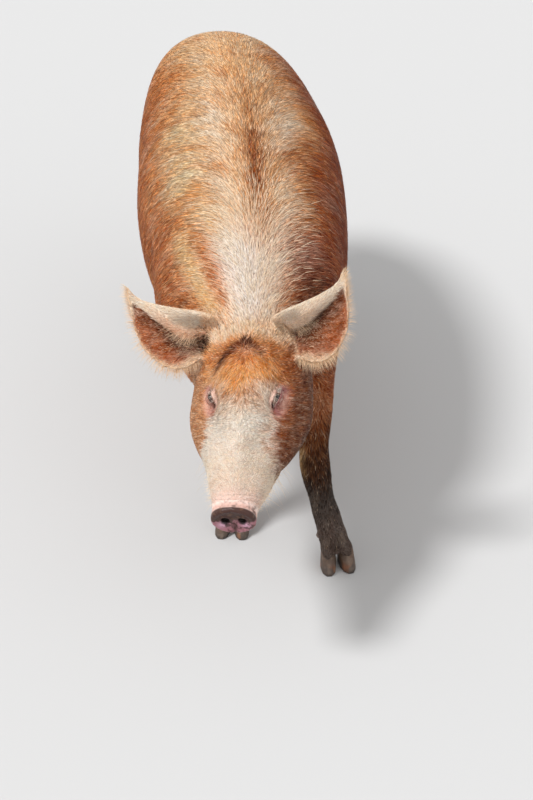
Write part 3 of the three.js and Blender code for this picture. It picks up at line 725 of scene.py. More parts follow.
def torso_colours(places, streak):
    """Ginger flanks, the left one partly darkened as painted shade; a pale back, partly painted
    highlight, with patches of painted shine and lines of painted sheen by the parting; a white
    crest on the neck, partly painted highlight; painted shade in the folds by the neck; and a
    parting.
    """
    x, y, z = places.T
    turn = round_back(places)
    blotch = noise(places, 0.075, 1) - 0.5
    patch = noise(places, 0.04, 2) - 0.5
    fore = fade(y, 0.10, 0.32)
    # Painted highlight, in part: the white crest on the neck and the pale patches of shine on the
    # right of the back.
    crest = step(-y, 0.16, 0.28) * hump(turn, -10, 23)
    shine = hump(turn, -27 + 10 * blotch, 12) * fore * (0.50 + 0.7 * streak + 2.0 * blotch)
    # Painted sheen: white lines on both sides of the parting.
    sheen_by_parting = (0.55 * hump(turn, 13, 6) + 0.7 * hump(turn, -12, 7)) * fore
    colour = over(banded(turn * (1 + 0.35 * (1 - fore)) + 22 * blotch + 10 * patch, ROUND_TRUNK),
                  (srgb(255, 246, 236), 0.97 * crest),
                  (srgb(255, 228, 182), 0.95 * shine * (1 - crest)),
                  (WHITE, sheen_by_parting * (0.5 + 0.6 * streak)))
    on_top = fade(np.abs(turn), 34, 74)
    colour = streaked(colour, streak, (0.10 + 0.26 * on_top) * (1 - 0.7 * step(turn, 14, 34)),
                      (0.26 + 0.24 * on_top) * (1 - 0.6 * crest))
    shoulder = step(-y, 0.13, 0.20) * fade(-y, 0.33, 0.36)
    parting = hump(x - spine_at(y), 5 * MM, 16 * MM + 5 * MM * streak) * (z > 0.5)
    length = step(y, -0.23, -0.12) * fade(y, 0.03, 0.07)
    faint = step(y, -0.28, -0.20) * fade(y, 0.10, 0.30) * (1 - length)
    # Painted shade in the folds where the neck meets the shoulders, deeper on the left.
    hollow = (hump(turn, 50, 22) * hump(y, -0.285, 0.065)
              + 0.6 * hump(turn, -66, 16) * hump(y, -0.29, 0.04))
    splashed = step(0.34 - z, 0, 0.09) * step(noise(places, 0.03, 5), 0.5, 0.75)
    # Painted highlight: the golden strip on the right shoulder.
    return over(colour, (srgb(252, 214, 160), 0.9 * shoulder * hump(turn, -40, 7)),
                (srgb(190, 112, 46), 0.85 * shoulder * hump(turn, -28, 6)),
                (srgb(146, 80, 34), parting * length),
                (srgb(178, 120, 70), 0.75 * parting * faint),
                # Painted shade in the neck's folds.
                (srgb(96, 56, 36), 0.8 * hollow),
                # Painted sheen: a greyish lilac patch on the left of the neck.
                (srgb(170, 124, 104), 0.6 * hump(turn, 26, 13) * hump(y, -0.225, 0.045)),
                (DRY_MUD, 0.45 * splashed))


def forehead_marks(colour, x, ahead, top, streak, fine):
    """The dark caret between the ears, partly painted shade, painted rusty shade on the left temple
    and a painted highlight on the right.
    """
    # The caret is partly painted shade under the hair raised at the whorl.
    wave = 5 * (fine - 0.5)
    apex = hump(x, -3, 8) * hump(ahead, 15, 11)
    right_arm = hump(ahead - 13 + 0.72 * x + wave, 0, 10) * step(-x, -2, 6) * fade(-x, 46, 60)
    left_arm = 0.8 * hump(ahead - 14 - 0.9 * x + wave, 0, 8) * step(x, -3, 4) * fade(x, 20, 30)
    caret = (apex + right_arm + left_arm) * top * (1.25 + 0.4 * streak)
    return over(colour, (RUST, 0.6 * hump(x, -12, 34) * hump(ahead, 30, 20) * top),
                (srgb(96, 46, 22), caret), (DARK, 0.5 * caret * step(fine, 0.35, 0.65)),
                # Painted shade on the left temple, under the brow.
                (srgb(140, 72, 36), 0.8 * hump(x, 68, 24) * hump(ahead, 46, 36) * top),
                # Painted highlight on the right of the forehead.
                (srgb(238, 192, 150), 0.65 * hump(x, -52, 15) * hump(ahead, 78, 26) * top))


def head_colours(places, streak):
    """A white blaze down the face between ginger cheeks, the left one darker partly as painted
    shade, with a painted highlight on the bridge of the nose, and the marks on it.
    """
    x, ahead, z = to_head(places)
    blotch = noise(places, 0.028, 11) - 0.5
    fine = noise(places, 0.007, 12)
    off_tip = np.clip(np.abs(x + 10) - 6, 0, 60)
    line = ahead + (0.9 * hump(ahead, 100, 45) - 0.10) * off_tip + 14 * blotch + 12 * streak
    cheeks = over(banded(-z, DOWN_RIGHT_CHEEK), (banded(-z, DOWN_LEFT_CHEEK), step(x, -25, 25)))
    half = np.where(x < 0, between(ahead, HALF_BLAZE_RIGHT), between(ahead, HALF_BLAZE_LEFT))
    soft = np.where(x < 0, 9, 16)
    on_cheek = step(np.abs(x) - half - 16 * blotch - 8 * streak, -soft, soft)
    on_cheek += step(-z, 66, 104) * fade(ahead, 225, 265)
    top = step(z, -66, -30)
    colour = over(banded(line, DOWN_FACE), (cheeks, on_cheek),
                  (srgb(206, 172, 138), 0.7 * step(-z, 55, 90) * step(ahead, 200, 250)),
                  # Painted highlight on the right of the nose's bridge.
                  (WHITE, 0.7 * hump(x, -20, 22) * hump(ahead, 185, 40) * top))
    colour = streaked(colour, streak, 0.36 - 0.2 * step(x, 40, 70), 0.35 * fade(ahead, 120, 150))
    colour = forehead_marks(colour, x, ahead, top, streak, fine)
    specks = step(fine, 0.68, 0.8) * step(ahead, 118, 150) * fade(ahead, 285, 305) * top
    tan_side = hump(x, 44, 16) * hump(ahead, 190, 50) * step(fine, 0.35, 0.7) * top
    colour = over(colour, (srgb(132, 92, 66), 0.34 * specks), (srgb(170, 116, 74), 0.6 * tan_side))
    return eye_surround(colour, places, fine)


def ear_root_shade(colour, places):
    """Painted shade: near black in the hollow where the right ear leaves the head."""
    offset = (np.stack(to_head(places), 1) - EAR_ROOT_SHADE_AT) / EAR_ROOT_SHADE_HALF
    off_root_shade = np.linalg.norm(offset, axis=1)
    return over(colour, (NEAR_BLACK, 0.95 * fade(off_root_shade, 0.5, 1.1)))


def eye_surround(colour, places, fine):
    """Bare, creased lids with painted shade round the slit and in the creases, a painted highlight
    on the fold above, and the stain that tears leave in front of the eye.
    """
    for side in eye_centres:
        u, v, high = to_eye(places, side)
        reach = np.sqrt(u**2 + v**2 + high**2)
        there = socket(places, side)
        off_slit = v - slit_middle(u)
        # Painted shade over the lids round the slit.
        shade = EYE_SHADE[side] * there * hump(off_slit, -3, 13)
        colour = over(colour, (LIDS, 0.8 * there), (WINE, shade))
        beyond = fade(np.abs(u), 15, 25)
        # Painted shade in the slit and its creases.
        for place, width, amount in CREASE_SHADES:
            crease = hump(off_slit, place, width) * beyond * there
            colour = over(colour, (BROWN if place else NEAR_BLACK, amount * crease))
        # Painted highlight along the fold above the slit.
        ridge = hump(off_slit, 7.5, 2.4) * fade(np.abs(u), 20, 30) * (reach < 36)
        stain = hump(u, 28, 8) * hump(v, -2, 6) * (reach < 46) * (0.6 + 0.5 * fine)
        colour = over(colour, (srgb(240, 208, 190), 0.7 * ridge), (srgb(134, 64, 36), 0.95 * stain))
    return colour


def snout_colours(places, colour):
    """A bare pink band behind the disc, and on the disc mud and painted shade above and wine pink
    below, with painted highlights on the pink and painted shade in the notch and nostrils.
    """
    x, ahead, z = to_disc(places)
    blotch, fine = noise(places, 0.011, 21), noise(places, 0.0035, 22)
    end = step(ahead, 333, 337)
    dirty = step(0.5 * fine + 0.6 * blotch + 0.14 * step(x, 0, 30), 0.52, 0.86)
    dirty = dirty * step(ahead, 318 - 14 * step(x, 8, 30), 334) * (1 - end)
    from_middle = np.hypot(x / DISC_HALF_WIDTH, z / DISC_HALF_HEIGHT)
    rim = hump(from_middle, 0.97, 0.07) * step(blotch, 0.3, 0.6)
    low = step(-z, 0, 12)
    disc = over(np.tile(DISC_PINK, (len(places), 1)),
                # Painted highlights on the wet pink below the nostrils.
                (srgb(212, 164, 184), hump(np.abs(x), 20, 8) * hump(z, -9, 7)),
                (DISC_MUD_AND_SHADE, 0.8 * step(0.5 * fine + 0.5 * blotch, 0.5, 0.66)),
                # Mud and painted shade darken the disc's upper half.
                (DISC_MUD_AND_SHADE, 0.97 * step(z + 18 * (blotch - 0.5) + 12 * (fine - 0.5), -7, 4)),
                (srgb(110, 78, 58), 0.5 * step(fine, 0.62, 0.8) * step(z, -4, 10)),
                # Pink on the lower rim, and painted shade in the notch below the middle.
                (srgb(176, 116, 106), 0.6 * rim * low), (DISC_MUD_AND_SHADE, 0.8 * hump(x, 0, 4) * low))
    nostril = np.hypot((np.abs(x) - NOSTRIL_ASIDE) / 7.5, (z - NOSTRIL_UP) / 9)
    return over(colour, (srgb(200, 148, 132), 0.7 * step(ahead, 318, 332) * (1 - end)),
                (DISC_MUD_AND_SHADE, 0.75 * dirty), (disc, end),
                # Painted shade in the nostrils.
                (NEAR_BLACK, (ahead > 318) * fade(nostril, 0.8, 1.2)))


def ear_colours(places, normals, colour, streak):
    """The ears' colours over what is there, on each point's own side of the head, with painted
    shade in the canal, under the folded edge and on its lower side, and the fold's cream partly
    painted highlight.
    """
    blotch = noise(places, 0.018, 31) - 0.5
    for ear in EARS.values():
        out, up, _ = to_ear(places, ear)
        across, rim = ear_place(out, up, ear)
        over_edge = above_roll(out, across, ear)
        inside = over(np.tile(srgb(164, 88, 44), (len(places), 1)),
                      # Painted shade, with random blotches, deepening towards the folded edge.
                      (srgb(92, 44, 22), 0.9 * step(over_edge, -0.42, -0.08) + 0.7 * blotch),
                      (srgb(186, 124, 92), 0.7 * hump(out, 40, 32) * fade(across, 0.10, 0.34)),
                      # Painted shade in the canal and in a line under the folded edge.
                      (DARK, hump(out, 14, 34) * hump(over_edge, -0.12, 0.17)),
                      (DARK, 0.9 * hump(over_edge, -0.04, 0.08) * fade(out, 62, 108)))
        # The fold is cream, partly as painted highlight, with painted shade on its lower side,
        # stronger on the right ear.
        shaded = fade(over_edge, 0.12, 0.32) * fade(out, 54, 108)
        tan = 0.7 if ear["side"] < 0 else 0.2
        roll = over(srgb(252, 236, 214), (srgb(214, 160, 124), tan * shaded))
        inside = over(streaked(inside, streak, 0.25, 0.25),
                      (roll, step(over_edge, -0.02, 0.05) + step(out, 118, 130)),
                      (CREAM, 0.95 * fade(rim, 3, 15 + 12 * blotch)))
        outside = over(CREAM, (SANDY, 0.7 * fade(across, 0.4, 0.8) + 0.3 * streak))
        hollow = step(-(normals @ ear["axes"][:, 1]), -0.2, 0.3)
        own = step(out, -12, 10) * (out < EAR_END)
        colour = over(colour, (over(outside, (inside, hollow)), own))
    return colour


def leg_colours(places, in_leg, streak):
    """Ginger above and muddy below, darkest round the knee partly as painted shade, with a straw
    patch on the inside of the left knee.
    """
    x, y, z = places.T
    blotch = noise(places, 0.022, 41) - 0.5
    knee = (x > 0.05) & (y < -0.15) & (np.abs(z - KNEE) < 20 * MM) & (in_leg > 0.5)
    inner = step(x[knee].mean() - x, 12 * MM, 24 * MM) * (y < -0.2)
    straw = inner * hump(z, KNEE + 8 * MM, 22 * MM) * step(blotch, -0.2, 0.1)
    drips = step(noise(places * [1, 1, 0.35], 0.010, 42), 0.55, 0.8)
    return over(banded(z / MM + 44 * blotch, DOWN_LEG), (srgb(196, 158, 108), 0.8 * straw),
                (DRY_MUD, 0.35 * drips * fade(z, 0.15, 0.20)),
                (DARK, 0.4 * np.clip(streak, 0, 1) * fade(z, 0.23, 0.30)))


def markings(skin):
    """The animal's colour at each vertex of the skin."""
    places, share, streak = skin["places"], skin["share"], skin["streak"]
    head = head_colours(places, streak)
    torso = torso_colours(places, streak)
    leg = leg_colours(places, share["leg"], streak)
    layers = {
        "torso": torso, "head": head, "jaw": head, "snout": snout_colours(places, head),
        "ear": ear_colours(places, skin["normals"], head, streak), "leg": leg, "trotter": leg,
        "tail": over(torso, (BROWN, np.full(len(torso), 0.35))),
    }
    colour = sum(layers[name] * share[name][:, None] for name in REGION_NAMES)
    return np.clip(ear_root_shade(colour, places), 0, 1)


# ---------------------------------------------------------------- the lie of the hair

DOWN = np.array([0.0, 0.0, -1.0])
# Degrees from forwards towards outwards, by mm ahead of the poll, on the crown and the cheeks.
CROWN_LIE = {-40: 178, 0: 160, 28: 100, 60: 30, 110: 40, 150: 78, 200: 112, 260: 130, 340: 134}
CHEEK_LIE = {-40: 150, 60: 120, 160: 112, 260: 126, 340: 134}
# Degrees from backwards towards the way down, by degrees from the top of the back.
SIDE_LEAN = {0: 0, 5: 14, 14: 44, 28: 64, 60: 74, 100: 64, 145: 38, 180: 0}
CANAL_OUT, FRINGE_OUT, FRINGE_UP = 4, 60, 4  # mm in the ear's frame, where its hairs spread from


def turned(first, second, degrees):
    """From the first direction, this many degrees towards the second."""
    angle = np.radians(degrees)[:, None]
    return first * np.cos(angle) + second * np.sin(angle)


def way_round(turn, ease):
    """Outwards and down on both sides at these angles, easing to nothing at the top."""
    angle = np.radians(turn)
    way = np.stack([np.cos(angle), 0 * angle, -np.sin(angle)], 1)
    return np.clip(turn / ease, -1, 1)[:, None] * way


def torso_lie(places):
    """Backwards along the spine, and outwards and down on the sides."""
    y = places[:, 1]
    turn = round_back(places)
    slope = np.polyval(np.polyder(spine), np.clip(y, *SPINE_ENDS))
    backwards = unit(np.stack([slope, np.ones_like(y), np.zeros_like(y)], 1))
    lean = between(np.abs(turn), SIDE_LEAN)
    lean *= 1 - 0.45 * step(-y, 0.16, 0.33)
    return turned(backwards, way_round(turn, 8), lean) + DOWN * (1.1 * step(y, 0.50, 0.66))[:, None]


def head_lie(places):
    """Back over the nose and cheeks, and from the poll forwards and outwards over the forehead."""
    x, ahead, z = to_head(places)
    turn = np.degrees(np.arctan2(x, z + 75))
    forwards = np.tile(-head_axes[:, 1], (len(places), 1))
    crown, cheek = between(ahead, CROWN_LIE), between(ahead, CHEEK_LIE)
    sideways = step(np.abs(turn), 38, 68)
    degrees = crown * (1 - sideways) + cheek * sideways
    return turned(forwards, way_round(turn, 10) @ head_axes.T, degrees)


def ear_lie(places):
    """Out from the canal to the rim."""
    way = np.zeros_like(places)
    for ear in EARS.values():
        out, _, _ = to_ear(places, ear)
        own = (out > -30) & (out < EAR_END)
        start = ear["root"] + ear["axes"] @ (np.array([ear["side"] * CANAL_OUT, 0, 0]) * MM)
        way[own] = unit(places - start)[own]
    return way


def hair_lie(skin, table):
    """Which way the hair lies at each vertex of the skin, and how much it parts there."""
    places, normals, share = skin["places"], skin["normals"], skin["share"]
    limb = np.tile(unit(np.array([0.0, 0.14, -1.0])), (len(places), 1))
    head, torso = along(head_lie(places), normals), along(torso_lie(places), normals)
    layers = {"torso": torso, "head": head, "jaw": head, "snout": head, "leg": limb,
              "trotter": limb, "tail": limb, "ear": along(ear_lie(places), normals)}
    way = sum(layers[name] * share[name][:, None] for name in REGION_NAMES)
    for _ in range(LIE_ROUNDS):
        way = along(spread(way, table, 2), normals)
    parted = 1 - np.linalg.norm(spread(way, table, PARTING_ROUNDS), axis=1)
    return way, np.clip(parted / PARTED, 0, 1)


def streaks(places, lie, table, seed):
    """Noise from about -1 to 1 that is drawn out along the hair."""
    toward = unit(places[table] - places[:, None])
    with_hair = (toward * lie[:, None]).sum(-1)
    rows = np.arange(len(places))
    following, before = table[rows, with_hair.argmax(1)], table[rows, with_hair.argmin(1)]
    value = np.random.default_rng(seed).normal(0, 1, len(places))
    for _ in range(STREAK_ROUNDS):
        value = 0.5 * value + 0.25 * (value[following] + value[before])
    return np.clip(value / value.std() / 2, -1, 1)


# ---------------------------------------------------------------- materials

def node(nodes, kind, **settings):
    made = nodes.new(kind)
    for key, value in settings.items():
        if key in made.inputs:
            made.inputs[key].default_value = value
        else:
            setattr(made, key, value)
    return made


def painted_material(name, scale, low, high, roughness=0.5, specular=0.5):
    """A material of the colour painted on a piece, made lighter and darker by fine noise."""
    material = bpy.data.materials.new(name)
    material.use_nodes = True
    nodes, links = material.node_tree.nodes, material.node_tree.links
    shader = nodes["Principled BSDF"]
    shader.inputs["Roughness"].default_value = roughness
    shader.inputs["Specular IOR Level"].default_value = specular
    painted = node(nodes, "ShaderNodeVertexColor", layer_name=f"{name}_colour")
    where = node(nodes, "ShaderNodeTexCoord")
    grain = node(nodes, "ShaderNodeTexNoise", Scale=scale, Detail=4.0, Roughness=0.6)
    levels = node(nodes, "ShaderNodeMapRange", **{"To Min": low, "To Max": high})
    mixed = node(nodes, "ShaderNodeMix", data_type="RGBA", blend_type="MULTIPLY", Factor=1.0)
    links.new(where.outputs["Object"], grain.inputs["Vector"])
    links.new(grain.outputs["Fac"], levels.inputs["Value"])
    links.new(painted.outputs["Color"], mixed.inputs["A"])
    links.new(levels.outputs["Result"], mixed.inputs["B"])
    links.new(mixed.outputs["Result"], shader.inputs["Base Color"])
    return material, nodes, links, where


def bumped(nodes, links, height, strength, distance):
    bump = node(nodes, "ShaderNodeBump", Strength=strength, Distance=distance)
    links.new(height, bump.inputs["Height"])
    links.new(bump.outputs["Normal"], nodes["Principled BSDF"].inputs["Normal"])


def coat_material():
    return painted_material("coat", 900.0, 0.88, 1.12, roughness=0.5, specular=0.06)[0]


def skin_material():
    """Pored skin, which is smoother where it is wet."""
    material, nodes, links, where = painted_material("skin", 260.0, 0.80, 1.16, specular=0.35)
    pores = node(nodes, "ShaderNodeTexVoronoi", Scale=420.0)
    links.new(where.outputs["Object"], pores.inputs["Vector"])
    bumped(nodes, links, pores.outputs["Distance"], 0.5, 0.0008)
    wet = node(nodes, "ShaderNodeVertexColor", layer_name="wetness")
    gloss = node(nodes, "ShaderNodeMapRange", **{"To Min": 0.72, "To Max": 0.42})
    links.new(wet.outputs["Color"], gloss.inputs["Value"])
    links.new(gloss.outputs["Result"], nodes["Principled BSDF"].inputs["Roughness"])
    return material


def horn_material():
    """Dull horn with fine scuffs."""
    material, nodes, links, where = painted_material("horn", 180.0, 0.62, 1.25, roughness=0.55)
    scuffs = node(nodes, "ShaderNodeTexNoise", Scale=420.0, Detail=6.0, Roughness=0.7)
    links.new(where.outputs["Object"], scuffs.inputs["Vector"])
    bumped(nodes, links, scuffs.outputs["Fac"], 0.6, 0.0006)
    return material


def eye_material():
    return painted_material("eye", 700.0, 0.75, 1.2, roughness=0.08, specular=0.6)[0]


# ---------------------------------------------------------------- eyes and claws

IRIS, PUPIL = 8.5, 3.6  # radii in mm
HORN_VOXEL = 1.2 * MM
HORN_RING = 3.4 * MM  # from one growth ring to the next
HORN_COLOURS = {0: srgb(62, 52, 46), 12: srgb(82, 68, 60), 27: srgb(96, 76, 62),
                40: srgb(104, 78, 60), 70: srgb(82, 68, 60)}


def add_eyeball(side, material):
    """A wet ball with a dark iris and a round pupil, which shows between the lids."""
    work = bmesh.new()
    bmesh.ops.create_uvsphere(work, u_segments=40, v_segments=28, radius=EYE_RADIUS * MM)
    mesh = bpy.data.meshes.new(f"eyeball_{side}")
    work.to_mesh(mesh)
    work.free()
    out, _, brow = eye_frame(side)
    looks = unit(out + 0.28 * brow)
    local = vertices_of(mesh)
    off_middle = np.linalg.norm(local / MM - looks * EYE_RADIUS, axis=1)
    colour = over(srgb(120, 88, 76), (srgb(58, 32, 20), fade(off_middle, IRIS - 1, IRIS)),
                  (NEAR_BLACK * 0.5, fade(off_middle, PUPIL - 0.6, PUPIL)))
    local += looks * (0.5 * MM * fade(off_middle, 2, IRIS))[:, None]
    put_vertices(mesh, local + eye_centres[side])
    paint(mesh, "eye_colour", colour)
    finish_piece(mesh, f"eyeball_{side}", material, [f"eye_{side}"])


def add_horn(claw, material):
    """A claw or dewclaw with soft edges and growth rings, reaching up under the skin."""
    work = welded(claw)
    rough = bpy.data.meshes.new("rough")
    work.to_mesh(rough)
    work.free()
    mesh = with_modifier(rough, "REMESH", mode="VOXEL", voxel_size=HORN_VOXEL)
    places = spread(vertices_of(mesh), neighbour_table(mesh), 9, 0.7)
    put_vertices(mesh, places)
    normals = normals_of(mesh)
    low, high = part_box(claw)
    upper = step(places[:, 2], high[2] - 12 * MM, high[2])
    wall = fade(np.abs(normals[:, 2]), 0.4, 0.7)
    wave = np.sin(2 * math.pi * (places[:, 2] / HORN_RING + 0.7 * noise(places, 0.012, 71)))
    places += normals * ((0.35 * MM + 0.22 * MM * wave) * wall)[:, None]
    places[:, 2] += 4 * MM * upper
    if claw.startswith("dewclaw"):
        places[:, 1] -= 3 * MM * upper
    else:
        places[:, 2] = np.where(places[:, 2] < 1.3 * MM, 0, places[:, 2])
    put_vertices(mesh, places)
    colour = banded(places[:, 2] / MM + 16 * (noise(places, 0.010, 72) - 0.5), HORN_COLOURS)
    crust = step(noise(places, 0.006, 73), 0.5, 0.75)
    worn = hump(places[:, 2], 10 * MM, 9 * MM) * step(noise(places, 0.016, 74), 0.55, 0.75)
    colour = over(colour, (srgb(142, 88, 54), 0.7 * worn), (DRY_MUD, 0.35 * crust))
    paint(mesh, "horn_colour", colour)
    finish_piece(mesh, f"horn_{claw}", material, [claw])


def finish_piece(mesh, name, material, nodes):
    mesh.polygons.foreach_set("use_smooth", np.ones(len(mesh.polygons), bool))
    mesh.materials.append(material)
    piece = shown(mesh, name)
    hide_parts(*nodes)
    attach(piece, "root")
    return piece


# ---------------------------------------------------------------- the skin piece

LIE_ROUNDS, STREAK_ROUNDS, PARTING_ROUNDS = 5, 14, 8
PARTED = 0.25  # how far the hair's ways cancel where it parts fully
# The skin under the hair is darkened as painted shade between the hairs, and mixed towards bare
# pink.
UNDER_SHADE, UNDER_BARE = 0.16, 0.30  # the skin under the hair, against the coat
UNWRAP_ANGLE, UNWRAP_MARGIN = 66, 0.002


def unwrapped(piece):
    """An unwrap of the skin's own shape: the place on it of each triangle's corners."""
    bpy.context.view_layer.objects.active = piece
    piece.select_set(True)
    layer = piece.data.uv_layers.new(name="OFBake")
    bpy.ops.object.mode_set(mode="EDIT")
    bpy.ops.mesh.select_all(action="SELECT")
    bpy.ops.uv.smart_project(angle_limit=radians(UNWRAP_ANGLE), island_margin=UNWRAP_MARGIN,
                             scale_to_bounds=True)
    bpy.ops.object.mode_set(mode="OBJECT")
    layer = piece.data.uv_layers["OFBake"]
    piece.data.calc_loop_triangles()
    corners = numbers(piece.data.loop_triangles, "loops", 3, np.int32)
    return numbers(layer.uv, "vector", 2).astype(float)[corners]


def make_skin(material):
    """The one skin, with what the coat needs to know about it at each vertex."""
    mesh = thinned(flesh, flesh_regions)
    refined(mesh)
    _, regions = nearest_flesh(vertices_of(mesh), tree, face_regions)
    measure_ears(vertices_of(mesh), regions)
    sculpt(mesh, regions)
    piece = finish_piece(mesh, "skin", material, FLESH)
    unwrap = unwrapped(piece)
    table = neighbour_table(mesh)
    shares = spread(np.eye(len(REGION_NAMES))[regions], table, 6)
    skin = {"mesh": mesh, "unwrap": unwrap, "places": vertices_of(mesh),
            "triangles": triangles_of(mesh), "normals": normals_of(mesh),
            "share": dict(zip(REGION_NAMES, shares.T))}
    corners = skin["places"][skin["triangles"]]
    crossed = np.cross(corners[:, 1] - corners[:, 0], corners[:, 2] - corners[:, 0])
    skin["areas"] = np.linalg.norm(crossed, axis=1) / 2
    skin["tree"] = BVHTree.FromPolygons(skin["places"].tolist(), skin["triangles"].tolist())
    skin["lie"], skin["parted"] = hair_lie(skin, table)
    skin["streak"] = streaks(skin["places"], skin["lie"], table, 51)
    skin["colours"] = markings(skin)
    return skin


def paint_skin(skin):
    """The skin under the hair is darker than the coat, as painted shade between the hairs, and
    pinker, and the disc is wet.
    """
    _, ahead, _ = to_disc(skin["places"])
    share = skin["share"]
    sockets = [socket(skin["places"], side) for side in ("left", "right")]
    haired = (1 - share["snout"]) * (1 - sockets[0] - sockets[1])
    clean = haired * (1 - share["trotter"] - share["leg"])
    under = over(skin["colours"] * (1 - UNDER_SHADE * haired)[:, None], (BARE, UNDER_BARE * clean))
    paint(skin["mesh"], "skin_colour", under)
    wetness = step(ahead, 331, 338) * share["snout"]
    paint(skin["mesh"], "wetness", np.tile(wetness[:, None], (1, 3)))


# ---------------------------------------------------------------- tufts

PATCH = 3.0 * MM  # how long a tuft's patch is on the unwrap, in the unwrap's own units
HAIR_BRIGHTNESS, MOST_BRIGHT = 1.42, 0.96
# A tuft's darker root is partly painted shade among the hairs.
ROOT_DEEPER, TIP_DEEPER = 1.22, 0.94  # powers of a tuft's colour: over 1 is darker and richer
CLUMP = 5 * MM  # tufts whose roots are this close share much of their shade
MOST_TUFTS = 33000  # in one piece, which keeps it under 200,000 triangles
THIN_OUT = 1.0
RING = ((-1, 0), (0, 1), (1, 0))  # the corners of a spike's ring: across it, and above the skin


def spike_faces(rings):
    """The triangles of one spike: a fan at the root, a band between rings and a fan at the tip."""
    tip = 3 * rings + 1
    faces = [(0, 2, 1), (0, 3, 2), (0, 1, 3)]
    for ring in range(rings - 1):
        for corner in range(3):
            a, b = 1 + 3 * ring + corner, 1 + 3 * ring + (corner + 1) % 3
            faces += [(a, b, a + 3), (b, b + 3, a + 3)]
    last = tip - 3
    faces += [(last, last + 1, tip), (last + 1, last + 2, tip), (last + 2, last, tip)]
    return np.array(faces)


def strands(paths, sides, widths, thick, colours, patches):
    """Thin closed spikes. Each path runs from root to tip, and all but its ends get a
    three-cornered ring. The result has one row for each spike."""
    count, steps, _ = paths.shape
    rings = steps - 2
    ways = unit(np.gradient(paths, axis=1))
    across = unit(sides[:, None] - (sides[:, None] * ways).sum(-1, keepdims=True) * ways)
    tops = np.cross(across, ways)
    places = np.empty((count, 3 * rings + 2, 3))
    tint, flat = np.empty_like(places), np.empty((count, 3 * rings + 2, 2))
    for end, at in ((0, 0), (-1, -1)):
        places[:, at], tint[:, at] = paths[:, end], colours[:, end]
        flat[:, at] = patches + [0, PATCH * (-0.5 if end == 0 else 0.5)]
    for ring in range(rings):
        half = widths[:, ring, None] / 2
        for corner, (aside, above) in enumerate(RING):
            at = 1 + 3 * ring + corner
            places[:, at] = (paths[:, ring + 1] + across[:, ring + 1] * half * aside
                             + tops[:, ring + 1] * half * above * thick)
            tint[:, at] = colours[:, ring + 1]
            flat[:, at] = patches + [aside * PATCH / 4, PATCH * ((ring + 1) / (steps - 1) - 0.5)]
    return places, spike_faces(rings), tint, flat


def coat_piece(name, places, faces, tint, flat, material):
    """Joins the spikes, each a row, into one mesh with its unwrap and colours."""
    count, per, _ = places.shape
    faces = (faces[None] + per * np.arange(count)[:, None, None]).reshape(-1, 3)
    mesh = bpy.data.meshes.new(name)
    mesh.vertices.add(count * per)
    mesh.loops.add(faces.size)
    mesh.polygons.add(len(faces))
    mesh.vertices.foreach_set("co", places.astype(np.float32).ravel())
    mesh.loops.foreach_set("vertex_index", faces.astype(np.int32).ravel())
    mesh.polygons.foreach_set("loop_start", np.arange(0, faces.size, 3, dtype=np.int32))
    mesh.polygons.foreach_set("use_smooth", np.ones(len(faces), bool))
    mesh.update(calc_edges=True)
    layer = mesh.uv_layers.new(name="OFBake")
    layer.uv.foreach_set("vector", flat.reshape(-1, 2)[faces.ravel()].astype(np.float32).ravel())
    paint(mesh, "coat_colour", tint.reshape(-1, 3))
    mesh.materials.append(material)
    piece = shown(mesh, name)
    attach(piece, "root")


def add_coat(name, spikes, order, material):
    """The spikes as one or more pieces, none of them too large."""
    places, faces, tint, flat = spikes
    pieces = math.ceil(len(places) / MOST_TUFTS)
    for number, chosen in enumerate(np.array_split(np.argsort(order, kind="stable"), pieces)):
        label = f"{name}_{number + 1}" if pieces > 1 else name
        coat_piece(label, places[chosen], faces, tint[chosen], flat[chosen], material)


def scatter(skin, density, count, rng):
    """Roots over the skin, as many to an area as the density of its vertices says."""
    weight = skin["areas"] * density[skin["triangles"]].mean(axis=1)
    ends = np.cumsum(weight)
    picked = (np.arange(count) + rng.random(count)) / count * ends[-1]
    triangle = np.minimum(np.searchsorted(ends, picked), len(weight) - 1)
    root, split = np.sqrt(rng.random(count)), rng.random(count)
    inside = np.stack([1 - root, root * (1 - split), root * split], 1)[:, :, None]

    def at(values):
        return (values[skin["triangles"][triangle]] * inside).sum(axis=1)

    return at, (skin["unwrap"][triangle] * inside).sum(axis=1)


def laid_on_skin(skin, points, heights):
    """Each point moved to this height over the nearest place on the skin."""
    found = np.empty_like(points)
    for i, (point, height) in enumerate(zip(points.tolist(), heights.tolist())):
        place, normal, _, _ = skin["tree"].find_nearest(point)
        found[i] = place + normal * height
    return found


def tuft_colours(base, steps, rng, varied, pale_share, clumped=0.0):
    """Deeper at the root, partly as painted shade, and paler at the tip, with every tuft and clump
    a little its own.
    """
    count = len(base)
    deeper = np.exp(rng.normal(0, varied, count) + clumped)
    base = np.clip(base, 0.002, 0.98) ** deeper[:, None]
    lighter = np.exp(rng.normal(0, 0.6 * varied, count) - 0.5 * clumped)
    base = base * HAIR_BRIGHTNESS * lighter[:, None]
    pale, shaded = rng.random(count) < pale_share, rng.random(count) < 0.12
    base = base + (CREAM - base) * (pale * rng.uniform(0.2, 0.5, count))[:, None]
    base = base * (1 - 0.40 * shaded)[:, None]
    base = base * np.minimum(1, MOST_BRIGHT / base.max(axis=1))[:, None]
    powers = np.linspace(ROOT_DEEPER, TIP_DEEPER, steps)
    return base[:, None] ** powers[None, :, None]


